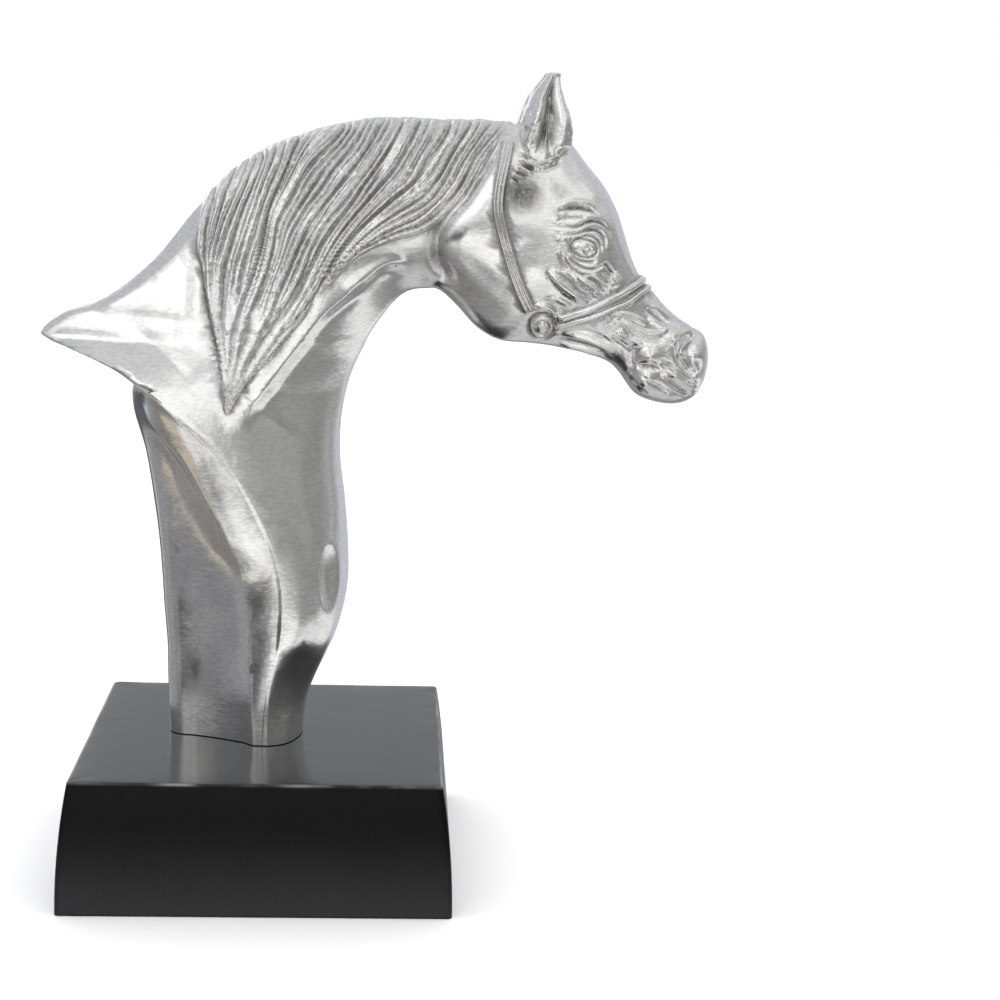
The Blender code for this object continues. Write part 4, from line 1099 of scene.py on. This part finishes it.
def add_studio():
    """Soft cards and walls all round, which only the reflections see, and plain white behind."""
    world = bpy.data.worlds.new("studio")
    bpy.context.scene.world = world
    world.use_nodes = True
    shading = Shading(world.node_tree)
    background = world.node_tree.nodes["Background"]
    split = shading.add("ShaderNodeSeparateXYZ")
    shading.feed(split.inputs[0], shading.add("ShaderNodeTexCoord").outputs["Generated"])
    x, y, z = split.outputs
    left = shading.math("ARCTAN2", shading.math("MULTIPLY", x, -1.0), shading.math("MULTIPLY", y, -1.0))
    left = shading.math("MULTIPLY", left, math.degrees(1.0))
    up = shading.math("MULTIPLY", shading.math("ARCSINE", z), math.degrees(1.0))
    colour = grey(SKY[0][1])
    for (low, _), (high, level) in zip(SKY[:-1], SKY[1:]):
        colour = shading.mix(shading.ramp(up, low, high), colour, grey(level))
    for _, middle, height, wide, tall, soft, level, tint in CARDS:
        turned = shading.math("WRAP", shading.math("SUBTRACT", left, float(middle)), 180.0, -180.0)
        share = None
        for away, reach in ((turned, wide / 2), (shading.math("SUBTRACT", up, float(height)), tall / 2)):
            inside = shading.ramp(shading.math("ABSOLUTE", away), reach - soft, reach + soft, 1.0, 0.0)
            share = inside if share is None else shading.math("MULTIPLY", share, inside)
        colour = shading.mix(share, colour, grey(level, tint))
    seen = shading.add("ShaderNodeLightPath").outputs["Is Camera Ray"]
    shading.feed(background.inputs["Color"], shading.mix(seen, colour, grey(1.0)))


def add_overhead_light():
    """An even light from above that whitens the floor and leaves no streak in the metal."""
    data = bpy.data.lights.new("overhead", "SUN")
    data.angle = LAMP_SPREAD
    data.energy = LAMP_LEVEL
    lamp = bpy.data.objects.new("overhead", data)
    bpy.context.scene.collection.objects.link(lamp)
    lamp.location = (0.0, 0.0, LAMP_HEIGHT)
    lamp.visible_glossy = False


def add_floor():
    mesh = bpy.data.meshes.new("floor")
    signs = ((-1, -1), (1, -1), (1, 1), (-1, 1))
    corners = [(across * FLOOR_HALF, along * FLOOR_HALF, FLOOR_LEVEL) for across, along in signs]
    mesh.from_pydata(corners, [], [(0, 1, 2, 3)])
    mesh.materials.append(pale_floor())
    floor = add_object("floor", mesh)
    floor.visible_glossy = False


def plinth_outline(half):
    """A square's outline with small round corners and many points along its sides."""
    reach = half - PLINTH_CORNER
    middles = [(reach, reach), (-reach, reach), (-reach, -reach), (reach, -reach)]
    points = []
    for quarter in range(4):
        turn = quarter * math.pi / 2
        here = np.array(middles[quarter])
        onward = np.array(middles[(quarter + 1) % 4])
        for angle in np.linspace(turn, turn + math.pi / 2, PLINTH_CORNER_STEPS):
            points.append(here + PLINTH_CORNER * np.array([math.cos(angle), math.sin(angle)]))
        face = PLINTH_CORNER * np.array([math.cos(turn + math.pi / 2), math.sin(turn + math.pi / 2)])
        for share in np.linspace(0.0, 1.0, PLINTH_SIDE_STEPS + 1)[1:-1]:
            points.append(here + share * (onward - here) + face)
    return np.array(points)


def plinth_grid():
    """Rings from the underside's border up the bowed sides, over the top edge and in to the middle, and
    how near each place is to the top edge."""
    top_half = PLINTH_HIGH.x - PLINTH_FLARE
    body = PLINTH_HIGH.z - PLINTH_EDGE
    spots = []
    for share in np.linspace(0.0, 1.0, PLINTH_LEVELS):
        spots.append((top_half + PLINTH_FLARE * (1.0 - share * share), share * body))
    for angle in np.linspace(0.0, math.pi / 2, PLINTH_EDGE_STEPS)[1:]:
        spots.append((top_half - PLINTH_EDGE * (1.0 - math.cos(angle)), body + PLINTH_EDGE * math.sin(angle)))
    for share in np.linspace(0.0, 0.94, PLINTH_TOP_RINGS)[1:] ** 1.5:
        spots.append(((top_half - PLINTH_EDGE) * (1.0 - share), PLINTH_HIGH.z))
    rings = []
    edges = []
    for half, height in spots:
        outline = plinth_outline(half)
        from_edge = math.hypot(height - PLINTH_HIGH.z, top_half - half)
        nearness = math.exp(-((from_edge / 0.004) ** 2))
        round_place = np.linspace(0.0, 28.0, len(outline), endpoint=False)
        wander = waves(round_place, np.zeros(len(outline)), 41)
        wander = wander + 0.5 * waves(2.6 * round_place, np.ones(len(outline)), 42)
        rings.append(np.column_stack([outline, height + EDGE_WANDER * nearness * (wander - 1.0)]))
        # Nearness to the top edge, for the lacquer's rubbed edge and painted highlight
        over = height - body if half > top_half - PLINTH_EDGE else PLINTH_EDGE + top_half - half
        edges.append(np.full(len(outline), math.exp(-(((over - 0.0008) / 0.0004) ** 2))))
    return np.stack(rings), np.concatenate(edges)


def make_plinth():
    """A square block whose sides bow out towards the underside, with a slightly uneven top edge."""
    grid, edges = plinth_grid()
    mesh = mesh_from_rings("black_plinth", grid)
    mesh.attributes.new("edge", "FLOAT", "POINT").data.foreach_set("value", edges.astype(np.float32))
    return add_object("black_plinth", mesh)


def take_place(piece, node, material):
    """Gives the piece its material and shows it in place of a node of the frame."""
    piece.data.materials.append(material)
    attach(piece, "root")
    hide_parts(node)


add_camera()
add_studio()
add_floor()
add_overhead_light()
take_place(make_casting(), "horse_head", polished_aluminium())
take_place(make_plinth(), "plinth", black_lacquer())
bpy.context.scene.view_settings.view_transform = "Standard"
